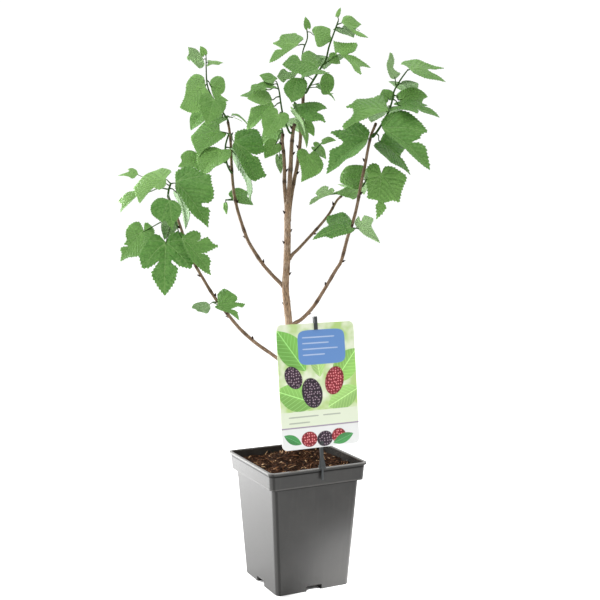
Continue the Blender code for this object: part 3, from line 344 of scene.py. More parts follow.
def sweep(path, radii, sides, wobble=None):
    """A closed round tube along a path: points, faces, and each point's place round and along it."""
    points, places, faces = [], [], []
    side = Vector(SEAM_SIDE)
    travelled = 0.0
    for i, at in enumerate(path):
        forward = (path[min(i + 1, len(path) - 1)] - path[max(i - 1, 0)]).normalized()
        side = (side - forward * side.dot(forward)).normalized()
        up = forward.cross(side)
        if i:
            travelled += (at - path[i - 1]).length
        for k in range(sides):
            angle = 2 * math.pi * k / sides
            radius = radii[i] * (wobble(angle, travelled) if wobble else 1.0)
            points.append(at + radius * (side * math.cos(angle) + up * math.sin(angle)))
            places.append(Vector((radius * math.cos(angle), radius * math.sin(angle), travelled)))
    for i in range(len(path) - 1):
        for k in range(sides):
            k2 = (k + 1) % sides
            faces.append([i * sides + k, i * sides + k2, (i + 1) * sides + k2, (i + 1) * sides + k])
    first, last = len(points), len(points) + 1
    top = (len(path) - 1) * sides
    points += [path[0] - (path[1] - path[0]).normalized() * radii[0] * END_RISE,
               path[-1] + (path[-1] - path[-2]).normalized() * radii[-1] * END_RISE]
    places += [Vector((0, 0, 0)), Vector((0, 0, travelled))]
    for k in range(sides):
        k2 = (k + 1) % sides
        faces.append([first, k2, k])
        faces.append([last, top + k, top + k2])
    return points, faces, places


def thickened(faces, count, mirrored):
    """Both sides and the walls of a sheet whose count of upper points comes before its under points.

    The faces point out of the upper side, or, where the sheet's frame is mirrored, into it.
    """
    upper = [list(face) for face in faces]
    under = [[i + count for i in reversed(face)] for face in faces]
    if mirrored:
        upper = [list(reversed(face)) for face in faces]
        under = [[i + count for i in face] for face in faces]
    directed = {(a, b) for face in faces for a, b in zip(face, list(face[1:]) + [face[0]])}
    walls = []
    for a, b in sorted(directed):
        if (b, a) not in directed:
            one, other = (a, b) if mirrored else (b, a)
            walls.append([one, other, other + count, one + count])
    return upper + under + walls


def lengths_of(path):
    """How far along the path each of its points is."""
    reached = [0.0]
    for a, b in zip(path, path[1:]):
        reached.append(reached[-1] + (b - a).length)
    return reached


def at_length(path, reached, far):
    """The place and direction that far along a path."""
    i = 0
    while i < len(path) - 2 and reached[i + 1] < far:
        i += 1
    step = path[i + 1] - path[i]
    return path[i] + step.normalized() * (far - reached[i]), step.normalized()


# Leaf form

def blade_frame(leaf):
    """The blade's length and frame: its petiole end, across, along and out of its upper side."""
    base, tip = seen(*leaf.base), seen(*leaf.tip)
    along = (tip - base).normalized()
    turn, lift = (math.radians(angle) for angle in leaf.face)
    face = Vector((math.sin(turn) * math.cos(lift), -math.cos(turn) * math.cos(lift), math.sin(lift)))
    out = (face - along * face.dot(along)).normalized()
    return (tip - base).length, base, out.cross(along), along, out


def blade_rise(leaf, number, x, y, widen):
    """How far a point of the blade stands out of its plane, in blade lengths."""
    side = abs(x) / (0.5 * widen)
    arch = LEAF_ARCH * 4 * y * (1 - y)
    wave = LEAF_WAVE * math.sin(WAVES * y + WAVE_SHIFT * number + (FAR_SIDE_SHIFT if x > 0 else 0))
    fold = LEVEL_FOLD if number in LEVEL_LEAVES else leaf.fold
    return fold * abs(x) + arch + (wave - RIM_DROOP) * min(side * side, MOST_DROOP)


# Leaves seen almost edge-on, whose halves lie nearly level
LEVEL_LEAVES = {0, 10, 12, 14, 18, 21, 22, 26, 42, 50, 52, 53, 60, 61, 62, 74, 77, 78}
LEVEL_FOLD = 0.04

# Leaf outlines as they look in the view, in pixels of the 600 by 600 picture, clockwise from the petiole.
# A leaf that isn't here takes its two half outlines from HALVES.
SEEN_RIMS = {
    0: "168 179, 165 185, 159 189, 154 187, 149 191, 145 196, 139 203 tip, 137 196, 133 187 lobe, 134 179,"
       " 137 173, 134 166, 136 160 lobe, 143 161, 151 163, 157 168, 165 167, 173 170",
    1: "137 176, 133 178, 128 176, 118 175 tip, 125 173, 129 171 notch, 128 169 lobe, 132 168, 136 170",
    2: "139 192, 133 199, 128 204, 120 211 tip, 122 204, 118 201 lobe, 123 196, 128 192, 134 191",
    3: "169 200, 175 201, 180 206, 181 212, 178 218, 174 223, 173 229 tip, 169 225, 165 220 notch,"
       " 162 222 lobe, 158 219, 153 215, 151 210, 152 204, 157 199, 163 198",
    4: "175 182, 176 173, 181 169, 189 166, 196 169, 203 173, 210 175 lobe, 211 183, 213 190, 213 197,"
       " 209 202, 202 203 notch, 203 207, 208 208, 209 213, 208 220, 209 227 tip, 203 222, 194 215,"
       " 187 206, 181 196, 176 189",
    5: "172 184, 177 187, 183 195, 188 206, 190 215, 188 222, 186 229 tip, 184 221, 183 213, 179 203,"
       " 174 193",
    6: "166 241, 170 235, 178 232, 185 236, 191 243, 195 250, 197 257, 193 262, 191 268 lobe, 185 267,"
       " 179 265, 172 260 notch, 172 264, 177 268, 176 275, 174 282, 170 288, 165 296 tip, 160 289,"
       " 155 281, 152 274, 155 268, 159 261 notch, 154 264, 149 267, 143 268 lobe, 141 262, 140 256,"
       " 142 251, 147 243, 151 236, 158 235",
    7: "143 230, 145 223, 150 225, 154 231, 152 238, 148 246, 142 253, 136 256, 128 257, 119 261 tip,"
       " 122 254, 121 248, 128 246 notch, 124 244 lobe, 127 240, 126 234, 128 227, 133 223, 138 222,"
       " 141 225",
    8: "183 238, 188 233, 195 231, 200 234, 200 239, 197 242 notch, 203 239, 208 238, 212 243,"
       " 218 246 lobe, 212 249, 206 252, 199 254 notch, 204 254, 209 258, 210 263, 209 268, 211 274 tip,"
       " 204 271, 197 265, 190 257, 185 247",
    10: "210 304, 210 308, 208 312, 205 317 lobe, 203 312, 198 311, 196 309, 191 307 tip, 194 304,"
        " 200 302, 206 302",
    11: "216 304, 218 298, 218 294, 223 289, 228 288, 233 290, 237 294, 237 299, 235 302, 240 303,"
        " 245 304 lobe, 242 307, 238 306, 233 308, 231 309 notch, 234 310, 237 312, 238 316, 239 320 tip,"
        " 233 315, 228 312, 221 310, 215 307",
    12: "231 198, 229 194, 232 190, 237 188, 241 186, 245 188, 248 192, 247 196, 250 199, 253 204 tip,"
        " 246 204, 240 203, 235 201",
    14: "222 130, 226 134, 218 141, 210 146, 203 150, 195 149 tip, 192 141, 188 135 lobe, 194 130,"
        " 196 124, 203 119, 211 119, 218 123",
    15: "222 148, 230 150, 229 158, 222 163, 214 167, 209 172, 204 173 tip, 199 166, 197 158, 199 151,"
        " 206 148, 214 147",
    16: "201 160, 204 165, 200 170, 194 167, 188 168, 180 166 tip, 182 161, 181 156, 186 151, 193 151,"
        " 199 155",
    17: "234 140, 236 133, 242 130, 250 129, 257 130, 261 137, 263 145, 266 150 lobe, 262 152, 256 154,"
        " 250 153 notch, 252 156, 257 157, 260 162, 262 168, 266 176 lobe, 262 177, 258 179, 256 181 tip,"
        " 250 178, 245 171, 241 163, 237 154, 233 147",
    18: "231 141, 236 148, 241 157, 246 167, 250 177, 252 185, 252 192, 250 200 tip, 248 192, 247 184,"
        " 243 175, 238 168, 233 158, 230 149",
    19: "204 60, 204 65, 200 68, 196 65, 188 67 tip, 190 61, 187 58, 189 53, 187 47 lobe, 193 48, 197 50,"
        " 201 55",
    21: "206 63, 208 60, 213 59, 218 61, 224 62 tip, 217 65, 213 67, 210 70 lobe, 208 67",
    22: "206 86, 209 93, 211 100, 206 107, 199 111, 190 112, 181 107 tip, 184 99, 186 91, 187 83, 191 77,"
        " 197 74, 203 77",
    23: "211 86, 211 80, 217 76, 223 78, 225 85, 224 91, 221 95 notch, 228 100 tip, 220 101, 214 97",
    26: "222 117, 226 109, 231 105, 238 108, 241 112 tip, 235 115, 229 118",
    28: "277 82, 272 84, 266 82, 260 76 tip, 266 73, 272 74, 277 78",
    30: "268 87, 262 93, 255 97, 241 95 tip, 250 91, 252 85, 259 84",
    31: "272 99, 266 104, 257 103, 249 100 tip, 252 94, 255 90, 262 90, 268 92",
    32: "276 105, 272 111, 262 118, 254 126, 246 129 tip, 248 121, 250 114, 251 108 lobe, 257 106,"
        " 264 104, 270 101",
    38: "333 48, 333 41, 337 36, 343 34, 350 34, 356 35, 358 39, 357 45, 354 51, 348 54 notch, 354 56,"
        " 362 61, 369 66 tip, 360 66, 361 74 lobe, 355 70, 351 63, 344 57, 338 52",
    39: "341 19, 345 16, 351 16, 356 20, 361 24 lobe, 357 27, 353 29 notch, 360 32, 368 38 tip, 360 36,"
        " 352 31, 345 25",
    42: "319 67, 314 73, 306 76, 299 73, 294 72, 289 69, 283 64 tip, 287 60, 291 56, 296 55, 301 61 notch,"
        " 302 56, 305 52, 309 50 lobe, 315 50, 321 52, 323 58",
    43: "320 79, 323 75, 328 73, 333 77, 334 84, 332 90, 328 93, 325 101 tip, 323 94, 321 87",
    46: "298 73, 293 78, 287 79, 283 82, 279 80 tip, 278 75, 281 70, 284 69, 288 72, 293 72",
    47: "299 77, 304 79, 307 84, 305 91, 302 97, 296 101 tip, 290 99, 286 94, 284 88, 287 82, 293 78",
    50: "302 42, 298 45, 291 49, 284 54, 277 59, 269 62 tip, 272 56, 276 50, 282 49 notch, 277 45,"
        " 273 43 lobe, 279 40, 281 35, 286 32, 293 31, 299 33, 303 38",
    52: "313 34, 312 30, 310 26, 313 22, 317 20 lobe, 322 21, 327 23, 330 29, 330 35, 331 39 tip, 327 43,"
        " 322 46, 317 47, 316 41",
    53: "292 104, 298 106, 304 103, 312 102, 320 103, 327 108 tip, 322 109, 317 112 notch, 322 115,"
        " 327 123 lobe, 320 120, 312 121, 304 118, 297 112",
    57: "309 154, 314 151, 319 156, 322 161, 323 166, 320 172, 314 176, 307 179, 301 182 tip, 302 175,"
        " 301 167, 299 160, 297 153, 301 149, 306 150",
    60: "408 70, 402 64, 404 58, 411 56, 417 58, 424 62, 432 65, 444 68 lobe, 435 69, 428 69 notch,"
        " 431 72, 437 75, 444 80 tip, 434 79, 424 77, 415 73",
    61: "396 81, 391 78, 388 71, 387 64, 389 58, 388 53 tip, 392 54, 394 61, 393 68, 397 72, 400 74",
    62: "385 107, 378 112, 368 117, 356 122, 348 126, 342 130 tip, 344 124, 351 118, 354 113, 353 108,"
        " 346 107 lobe, 353 103, 355 97, 361 94, 368 93, 371 99 notch, 374 94, 379 91, 383 97",
    64: "394 103, 396 96, 401 91, 408 88, 416 88, 422 91, 428 96 tip, 423 99, 420 104, 411 106, 402 106",
    66: "382 127, 382 121, 388 115, 396 112, 404 111, 412 115, 419 121, 424 127, 427 131 lobe, 421 134,"
        " 419 138, 412 142 notch, 419 143, 425 147, 427 155, 430 169 tip, 422 164, 413 156, 404 147,"
        " 394 139, 386 133",
    67: "369 137, 364 146, 356 154, 346 159, 337 167, 326 173 tip, 329 164, 330 155, 331 150, 338 147,"
        " 343 142 notch, 338 137, 331 132 lobe, 339 130, 345 130, 346 124, 351 121, 358 122, 365 127,"
        " 369 132",
    68: "376 136, 386 133, 396 139, 404 147, 400 155, 403 160 lobe, 397 165 tip, 388 159, 380 152, 375 145",
    71: "382 171, 385 167, 392 167, 399 171, 406 177, 404 184, 401 192, 399 202 lobe, 393 200, 387 202,"
        " 384 203 notch, 386 207, 383 212, 377 219 tip, 377 212, 376 206, 378 201 notch, 373 199,"
        " 368 198 lobe, 368 190, 367 182, 369 175, 367 169, 372 164, 378 165",
    72: "363 177, 362 186, 355 189, 348 186, 341 181 tip, 341 174, 345 168, 351 165, 358 164, 364 167",
    74: "334 194, 329 195, 322 196, 316 201, 310 205 tip, 311 200, 315 197, 318 196, 316 193, 319 189,"
        " 324 186, 328 187, 328 190 notch, 331 188, 334 190",
    75: "360 188, 359 195, 355 200, 348 197, 335 194 tip, 341 190, 348 186, 355 184",
    77: "352 227, 354 230, 348 233, 340 235, 331 238 lobe, 325 236, 313 239 tip, 318 233, 324 228,"
        " 329 225, 327 221, 328 216, 332 213, 338 212, 343 212, 348 216, 351 221",
    78: "357 228, 355 222, 358 216 lobe, 361 221 notch, 364 216, 369 215, 373 219, 371 225, 373 230,"
        " 380 242 tip, 371 238, 364 234",
}


def eye():
    """The camera's place in the tree's view, in millimetres."""
    return (Matrix.Translation((VIEW_SIDE, -VIEW_DISTANCE, VIEW_HEIGHT))
            @ Matrix.Rotation(math.radians(90 - EYE_PITCH), 4, "X"))


def pixel_of(place):
    """Where a place in the tree's view appears in the picture."""
    seen_at = eye().inverted() @ place
    reach = PICTURE_SIDE * EYE_LENS / EYE_FILM / -seen_at.z
    return Vector((PICTURE_SIDE / 2 + reach * seen_at.x, PICTURE_SIDE / 2 - reach * seen_at.y))


UNFOLD_STEPS = 12
UNFOLD_STRIDE = 0.2
BLADE_SIDE = 0.66
BLADE_FOOT = -0.3
BLADE_TIP = 1.06
THINNEST = 0.01


def on_blade(pixel, leaf, number, widen):
    """The place on a blade, across and along, that appears at a pixel, found in small steps."""
    length, base, across, along, out = blade_frame(leaf)

    def shown(x, y):
        rise = length * blade_rise(leaf, number, x / length, y / length, widen)
        return pixel_of(base + across * x + along * y + out * rise)

    x, y = 0.0, 0.5 * length
    for _ in range(UNFOLD_STEPS):
        at = shown(x, y)
        miss = pixel - at
        by_x, by_y = shown(x + 0.5, y) - at, shown(x, y + 0.5) - at
        area = by_x.x * by_y.y - by_x.y * by_y.x
        if abs(area) < THINNEST:
            area = math.copysign(THINNEST, area)
        step = Vector((miss.x * by_y.y - miss.y * by_y.x, by_x.x * miss.y - by_x.y * miss.x)) * 0.5 / area
        if step.length > UNFOLD_STRIDE * length:
            step *= UNFOLD_STRIDE * length / step.length
        x = min(max(x + step.x, -BLADE_SIDE * length), BLADE_SIDE * length)
        y = min(max(y + step.y, BLADE_FOOT * length), BLADE_TIP * length)
    return Vector((x, y))


def seen_halves(leaf, number, length, widen):
    """A traced leaf's right and left halves: keys from the petiole to the tip, and their places."""
    words = [key.split() for key in SEEN_RIMS[number].split(",")]
    keys = [(0.0, 0.0) + tuple(word[2:]) for word in words]
    places = [on_blade(Vector((float(word[0]), float(word[1]))), leaf, number, widen) for word in words]
    tip = next(i for i, key in enumerate(keys) if "tip" in key)
    places[0], places[tip] = Vector((0.0, 0.0)), Vector((0.0, length))
    one = (keys[:tip + 1], places[:tip + 1])
    other = ([keys[0]] + keys[:tip - 1:-1], [places[0]] + places[:tip - 1:-1])
    area = sum(a.x * b.y - a.y * b.x for a, b in zip(places, places[1:] + places[:1]))
    return (one, other) if area > 0 else (other, one)


# Leaf outline

TOOTH_PITCH = 0.068
TOOTH_PITCH_RANGE = (1.8, 4.3)
TOOTH_SHARE = 0.4
UNEVEN_TEETH = 0.22
RIM_STEPS = 8
# How far the teeth fade out: by a notch and by the tip in teeth, by the petiole in blade lengths
NOTCH_CALM = 2.4
TIP_CALM = 1.4
FOOT_CALM = 0.3
TOOTH_FORWARD = ((0.0, 0.0), (0.36, 0.50), (0.74, 1.0), (0.86, 0.55))
TOOTH_BACKWARD = ((0.0, 0.0), (0.14, 0.55), (0.26, 1.0), (0.64, 0.50))


def saw(curve, pitch, height, notch_index, quiet):
    """A line with saw teeth that lean to its end, or to its start as far as the notch is."""
    reached = lengths_of(curve)
    total = reached[-1]
    notch = reached[notch_index] if notch_index else 0.0
    count = max(2, round(total / pitch))
    line = []
    for i in range(count):
        lean_back = i * total / count < notch
        lift = height * (1 + UNEVEN_TEETH * math.sin(2.7 * i + total))
        for share, rise in TOOTH_BACKWARD if lean_back else TOOTH_FORWARD:
            at, forward = at_length(curve, reached, (i + share) * total / count)
            calm = min([1.0] + [(at - spot).length / reach for spot, reach in quiet])
            line.append(at + Vector((forward.y, -forward.x)) * rise * lift * calm)
    return line


def plain_half(name, length, widen, right):
    """A half blade's keys, and their places in millimetres."""
    keys = [(0.0, 0.0)] + HALVES[name] + [(0.0, 1.0)]
    return keys, [Vector((widen * right * key[0], key[1])) * length for key in keys]


def half_rim(keys, places, length, right):
    """A half blade's toothed outline in millimetres, from the petiole to before the tip."""
    places = [Vector((right * at.x, at.y)) for at in places]
    low, high = TOOTH_PITCH_RANGE
    pitch = min(max(TOOTH_PITCH * length, low), high)
    quiet = [(at, NOTCH_CALM * pitch) for at, key in zip(places, keys) if key[2:] == ("notch",)]
    quiet += [(places[0], FOOT_CALM * length), (places[-1], TIP_CALM * pitch)]
    line, run, notch_index = [], [], 0
    for key, at in zip(keys, places):
        run.append(at)
        if key[2:] == ("notch",):
            notch_index = RIM_STEPS * (len(run) - 1)
        if key[2:] == ("lobe",) or key is keys[-1]:
            line += saw(smooth_path(run, RIM_STEPS), pitch, TOOTH_SHARE * pitch, notch_index, quiet)
            run, notch_index = [at], 0
    return [Vector((right * at.x, at.y)) for at in line]


def blade_halves(leaf, number, length, widen):
    """The right and the left half of a blade, as keys and places."""
    if number in SEEN_RIMS:
        return seen_halves(leaf, number, length, widen)
    left, right = leaf.halves
    return plain_half(right, length, widen, 1), plain_half(left, length, widen, -1)


def blade_rim(halves, length):
    """The blade's outline, from the petiole round by the right half to the left."""
    right = half_rim(*halves[0], length, 1)
    left = half_rim(*halves[1], length, -1)
    return right + [Vector((0.0, length))] + list(reversed(left[1:]))


# Leaf veins

Vein = namedtuple("Vein", "line thick")

# Where side veins leave the midrib, and the outer and inner sides of the two primary side veins
MIDRIB_SHARES = [0.16, 0.27, 0.38, 0.49, 0.59, 0.685, 0.77, 0.85, 0.92]
OUTER_SHARES = ([0.2, 0.38, 0.54, 0.69, 0.83], [0.25, 0.5, 0.72])
INNER_SHARES = [0.46, 0.62, 0.78]
MIDRIB_ANGLE = math.radians(46)
OUTER_ANGLE = math.radians(44)
INNER_ANGLE = math.radians(42)
RAY_BOW = 0.04
SIDE_BOW = 0.05
RAY_THICK = (0.85, 0.65)
RAY_REACH = 0.94
SIDE_REACH = 0.9
MIDRIB_REACH = 0.965
MIDRIB_STEPS = 12
# Where the primary side veins aim on a half with no lobe: share of its width, blade lengths along
UPPER_AIM = (0.86, 0.42)
LOWER_AIM = (0.84, -0.03)
HIGH_LOBE = 0.18
VEINLESS = 12.0
LONGEST_VEIN = 60.0
FAR_OFF = 1e6
HAIR = 1e-6


def turned(way, angle):
    return Vector((way.x * math.cos(angle) - way.y * math.sin(angle),
                   way.x * math.sin(angle) + way.y * math.cos(angle)))


def reach_to(origin, way, edges):
    """How far a way goes from the origin before it meets one of the edges."""
    nearest = FAR_OFF
    for a, b in edges:
        run = b - a
        cross = way.x * run.y - way.y * run.x
        if abs(cross) < 1e-9:
            continue
        off = a - origin
        far = (off.x * run.y - off.y * run.x) / cross
        share = (off.x * way.y - off.y * way.x) / cross
        if HAIR < far < nearest and -HAIR <= share <= 1 + HAIR:
            nearest = far
    return nearest


def bowed(start, way, far, bow):
    """A vein's line, bowed to one side on its way."""
    aside = Vector((-way.y, way.x)) * bow * far
    return [start + way * far * t + aside * math.sin(math.pi * t) for t in (0.0, 0.25, 0.5, 0.75, 1.0)]


def side_veins(parent, shares, angle, edges, shortest, bow):
    """Veins that leave a parent at an angle and stop short of the rim or of another vein."""
    made = []
    for share in shares:
        at, forward = point_along(parent, share)
        way = turned(forward, angle)
        far = reach_to(at + way * 0.3, way, edges) * SIDE_REACH
        if not shortest <= far < LONGEST_VEIN:
            continue
        line = bowed(at, way, far, bow)
        made.append(line)
        edges += list(zip(line[1:], line[2:]))
    return made


def vein_aims(keys, places, length, right):
    """Where the two primary side veins of a half blade aim: the upper one, then the lower."""
    lobes = [at for key, at in zip(keys, places) if "lobe" in key]
    reach = max(right * at.x for at in places)
    high = [at for at in lobes if at.y > HIGH_LOBE * length]
    low = [at for at in lobes if at.y <= HIGH_LOBE * length]
    upper = high[-1] if high else Vector((UPPER_AIM[0] * right * reach, UPPER_AIM[1] * length))
    lower = low[0] if low else Vector((LOWER_AIM[0] * right * reach, LOWER_AIM[1] * length))
    return upper, lower


def blade_veins(halves, length, rim):
    """The main and side veins of a blade, as lines in millimetres."""
    edges = list(zip(rim, rim[1:] + rim[:1]))
    foot = Vector((0.0, 0.004 * length))
    midrib = [foot + Vector((0.0, MIDRIB_REACH * length * i / MIDRIB_STEPS)) for i in range(MIDRIB_STEPS + 1)]
    main = [Vein(midrib, 1.0)]
    side = []
    shortest = max(2.4, 0.05 * length)
    rays = []
    for (keys, places), right in zip(halves, (1, -1)):
        for rank, aim in enumerate(vein_aims(keys, places, length, right)):
            way = (aim - foot).normalized()
            far = reach_to(foot + way * 0.5, way, edges) * RAY_REACH
            if not 0.1 * length < far < 1.5 * length:
                continue
            line = bowed(foot, way, far, -RAY_BOW * right)
            rays.append((line, right, rank))
            main.append(Vein(line, RAY_THICK[rank]))
    for vein in main:
        edges += list(zip(vein.line[1:], vein.line[2:]))
    if length < VEINLESS:
        return main, side
    shares = MIDRIB_SHARES[::2] if length < SMALL_LEAF else MIDRIB_SHARES
    for right in (1, -1):
        moved = [share + (0.02 if right > 0 else -0.01) for share in shares]
        side += side_veins(midrib, moved, -right * MIDRIB_ANGLE, edges, shortest, SIDE_BOW * -right)
    for line, right, rank in rays:
        outer = OUTER_SHARES[rank]
        side += side_veins(line, outer, -right * OUTER_ANGLE, edges, shortest, SIDE_BOW * -right)
        if rank == 0:
            side += side_veins(line, INNER_SHARES, right * INNER_ANGLE, edges, shortest, SIDE_BOW * right)
    return main, side


def shoulders(vein, half_width):
    """Two lines along a main vein that keep its light band narrow."""
    lines = []
    for aside in (-1, 1):
        line = []
        for i, at in enumerate(vein.line[:-1]):
            forward = (vein.line[i + 1] - at).normalized()
            taper = 1 - 0.7 * i / (len(vein.line) - 1)
            line.append(at + Vector((-forward.y, forward.x)) * aside * half_width * vein.thick * taper)
        lines.append(line[1:] if len(line) > 2 else line)
    return lines


def distances(spots, lines):
    """For each spot, how far it is from every stretch of the lines, and where along the line that is."""
    starts = np.array([a for line in lines for a in line[:-1]], float)
    ends = np.array([b for line in lines for b in line[1:]], float)
    shares = np.array([i / (len(line) - 1) for line in lines for i in range(len(line) - 1)])
    runs = ends - starts
    off = spots[:, None, :] - starts[None, :, :]
    t = np.clip((off * runs).sum(2) / np.maximum((runs * runs).sum(1), 1e-12), 0, 1)
    far = np.linalg.norm(off - t[:, :, None] * runs, axis=2)
    return far, shares[None, :] + 0 * t


def inside(spots, rim):
    """Which spots lie inside the outline."""
    a = np.array(rim, float)
    b = np.roll(a, -1, axis=0)
    x, y = spots[:, None, 0], spots[:, None, 1]
    crosses = (a[:, 1] > y) != (b[:, 1] > y)
    rise = np.where(b[:, 1] == a[:, 1], 1e-9, b[:, 1] - a[:, 1])
    where = a[:, 0] + (y - a[:, 1]) * (b[:, 0] - a[:, 0]) / rise
    return (crosses & (x < where)).sum(1) % 2 == 1


ROW_STEP = 0.866


def honeycomb(rim, step):
    """Spots in rows, every second row moved by half a step, that cover the outline's box."""
    low = np.min(np.array(rim), axis=0)
    high = np.max(np.array(rim), axis=0)
    rows = []
    count = int((high[1] - low[1]) / (step * ROW_STEP)) + 1
    for i in range(count):
        xs = np.arange(low[0] + (0.5 * step if i % 2 else 0.0), high[0], step)
        rows.append(np.stack([xs, np.full(len(xs), low[1] + ROW_STEP * step * (i + 0.5))], 1))
    return np.concatenate(rows)


# Leaf blade

VEIN_WIDTH = (0.34, 0.8)
VEIN_SHARE = 0.011
RIDGE = 0.55
SIDE_RIDGE = 0.16
QUILT = 0.75
QUILT_SHARE = 0.014
QUILT_REACH = 2.3
FLAT_RIM = 2.5
NO_SIDE_VEIN = 50.0
GRID_STEP = 1.5
GRID_ROWS = 30
COARSER = 1.8
PATTERN_STEP = 37.0


def vein_values(spots, main, side, width):
    """Each spot's distance from the main veins in vein widths, and from the side veins in millimetres."""
    far, share = distances(spots, [vein.line for vein in main])
    thick = np.concatenate([[vein.thick] * (len(vein.line) - 1) for vein in main])
    near_main = (far / (width * thick * (1 - 0.72 * share))).min(1)
    plain_main = far.min(1)
    if not side:
        return near_main, plain_main, plain_main * 0 + NO_SIDE_VEIN
    return near_main, plain_main, distances(spots, side)[0].min(1)


def blade(leaf, number, coarse):
    """One leaf blade: points in the tree's view, faces, and the values that its finish reads."""
    length, base, across, along, out = blade_frame(leaf)
    widen = leaf.width / length / WIDEST
    halves = blade_halves(leaf, number, length, widen)
    rim = blade_rim(halves, length)
    main, side = blade_veins(halves, length, rim)
    width = min(max(VEIN_SHARE * length, VEIN_WIDTH[0]), VEIN_WIDTH[1])
    lines = [vein.line for vein in main] + side
    lines += [line for vein in main for line in shoulders(vein, width)]
    step = max(GRID_STEP, length / GRID_ROWS) * (COARSER if coarse else 1.0)
    grid = honeycomb(rim, step)
    grid = grid[inside(grid, rim)]
    rim_line = rim + rim[:1]
    clear = distances(grid, lines + [rim_line])[0].min(1) > 0.5 * step
    flat = [Vector(p) for p in rim]
    edges = []
    for line in lines:
        start = len(flat)
        flat += line
        edges += [(start + i, start + i + 1) for i in range(len(line) - 1)]
    flat += [Vector(p) for p in grid[clear]]
    flat, _, faces, _, _, _ = delaunay_2d_cdt(flat, edges, [list(range(len(rim)))], 1, 1e-5)
    used = sorted({i for face in faces for i in face})
    order = {i: k for k, i in enumerate(used)}
    faces = [[order[i] for i in face] for face in faces]
    spots = np.array([flat[i] for i in used], float)
    near_main, plain_main, near_side = vein_values(spots, main, side, width)
    from_rim = distances(spots, [rim_line])[0].min(1)
    nearest = np.minimum(plain_main, near_side)
    quilt = min(QUILT, QUILT_SHARE * length) * (1 - np.exp(-(nearest / QUILT_REACH) ** 2))
    quilt *= np.clip(from_rim / FLAT_RIM, 0.15, 1.0)
    ridge = RIDGE * width / VEIN_WIDTH[1] * np.exp(-near_main ** 2)
    ridge = ridge + SIDE_RIDGE * np.exp(-(near_side / 0.5) ** 2)
    upper, under = [], []
    for (x, y), puff, rib in zip(spots, quilt, ridge):
        rise = length * blade_rise(leaf, number, x / length, y / length, widen)
        top = base + across * x + along * y + out * (rise - BLADE_TOP + puff * 0.8)
        upper.append(top)
        under.append(top - out * (BLADE_THICK + rib))
    count = len(upper)
    place = [Vector((x, y, PATTERN_STEP * number)) for x, y in spots]
    values = {
        "main_vein": list(near_main) * 2,
        "side_vein": list(near_side) * 2,
        "from_rim": list(from_rim) * 2,
        "upper": [1.0] * count + [0.0] * count,
        "blade_place": place * 2,
        "tone": leaf_tone(number, length),
    }
    return upper + under, thickened(faces, count, mirrored=True), values


# How light each leaf looks in the view, where that differs from what its size gives; partly painted light and
# shade, as leaves that the lamps light strongly are set darker
TONES = {0: 0.8, 1: 0.8, 2: 0.8, 3: 0.05, 4: 0.25, 5: 0.2, 6: 0.15, 7: 0.45, 8: 0.35, 14: 0.55, 15: 0.7,
         17: 0.15, 18: 0.1, 19: 1.0, 21: 0.9, 22: 0.75, 23: 0.7, 31: 0.7, 32: 0.6, 42: 0.35, 46: 0.8, 47: 0.3,
         50: 0.6, 53: 0.2, 60: 0.5, 61: 1.0, 62: 0.45, 64: 0.5, 66: 0.25, 67: 0.1, 68: 0.2, 71: 0.6, 72: 0.5,
         74: 0.9, 77: 0.1, 78: 0.95}


OLD_LEAF = 70
OLD_TONE = 0.25
YOUNG_TONE = 0.5
MIXED_TONE = 0.22


def leaf_tone(number, length):
    """From 0, dark, to 1, light: by its size from an old dark leaf to a young light one, or as TONES gives
    it, which partly paints light and shade.
    """
    if number in TONES:
        return TONES[number]
    young = 1.0 - min(length / OLD_LEAF, 1.0)
    tone = OLD_TONE + YOUNG_TONE * young + MIXED_TONE * math.sin(12.9 * number + 1.7)
    return min(max(tone, 0.0), 1.0)


PETIOLE_DEPTH = 0.65
PETIOLE_SWELL = 0.55
PETIOLE_TAPER = 0.15
PETIOLE_SIDES = 8
PETIOLE_STEPS = 6
STEM_SIDES = 12
STEM_STEPS = 5
STEM_TONE = 0.3
PETIOLE_TONE = 0.5


def petiole_path(leaf, number, stem_path):
    """The stalk, which leaves the stem aslant and ends in the underside of the blade's midrib."""
    length, base, _, along, out = blade_frame(leaf)
    start, forward = point_along(stem_path, leaf.at)
    sink = min(PETIOLE_SINK, 0.2 * length)
    rise = length * blade_rise(leaf, number, 0.0, sink / length, 1.0)
    end = base + along * sink - out * (PETIOLE_DEPTH - rise)
    way = end - start
    aside = way - forward * way.dot(forward)
    first = start + 0.3 * way + 0.05 * way.length * forward + 0.06 * way.length * aside.normalized()
    last = end - 0.2 * way - along * min(0.1 * way.length, sink) - out * 0.04 * way.length
    return smooth_path([start, first, last, end], PETIOLE_STEPS)


LEAF_VALUES = ("main_vein", "side_vein", "from_rim", "upper", "blade_place", "tone", "stalk")


def add_stalk(making, path, radii, sides, tone):
    points, faces, places = sweep(path, radii, sides)
    making.add(points, faces, main_vein=9.0, side_vein=9.0, from_rim=9.0, upper=1.0, blade_place=places,
               tone=tone, stalk=1.0)


def nearest_wood(at):
    """The place on the axis of a woody stem that is closest to a shoot's foot."""
    spots = []
    for stem in [TRUNK, *BRANCHES.values()]:
        spots += smooth_path([seen(*p) for p in stem.points], 12)
    return min(spots, key=lambda spot: (spot - at).length)


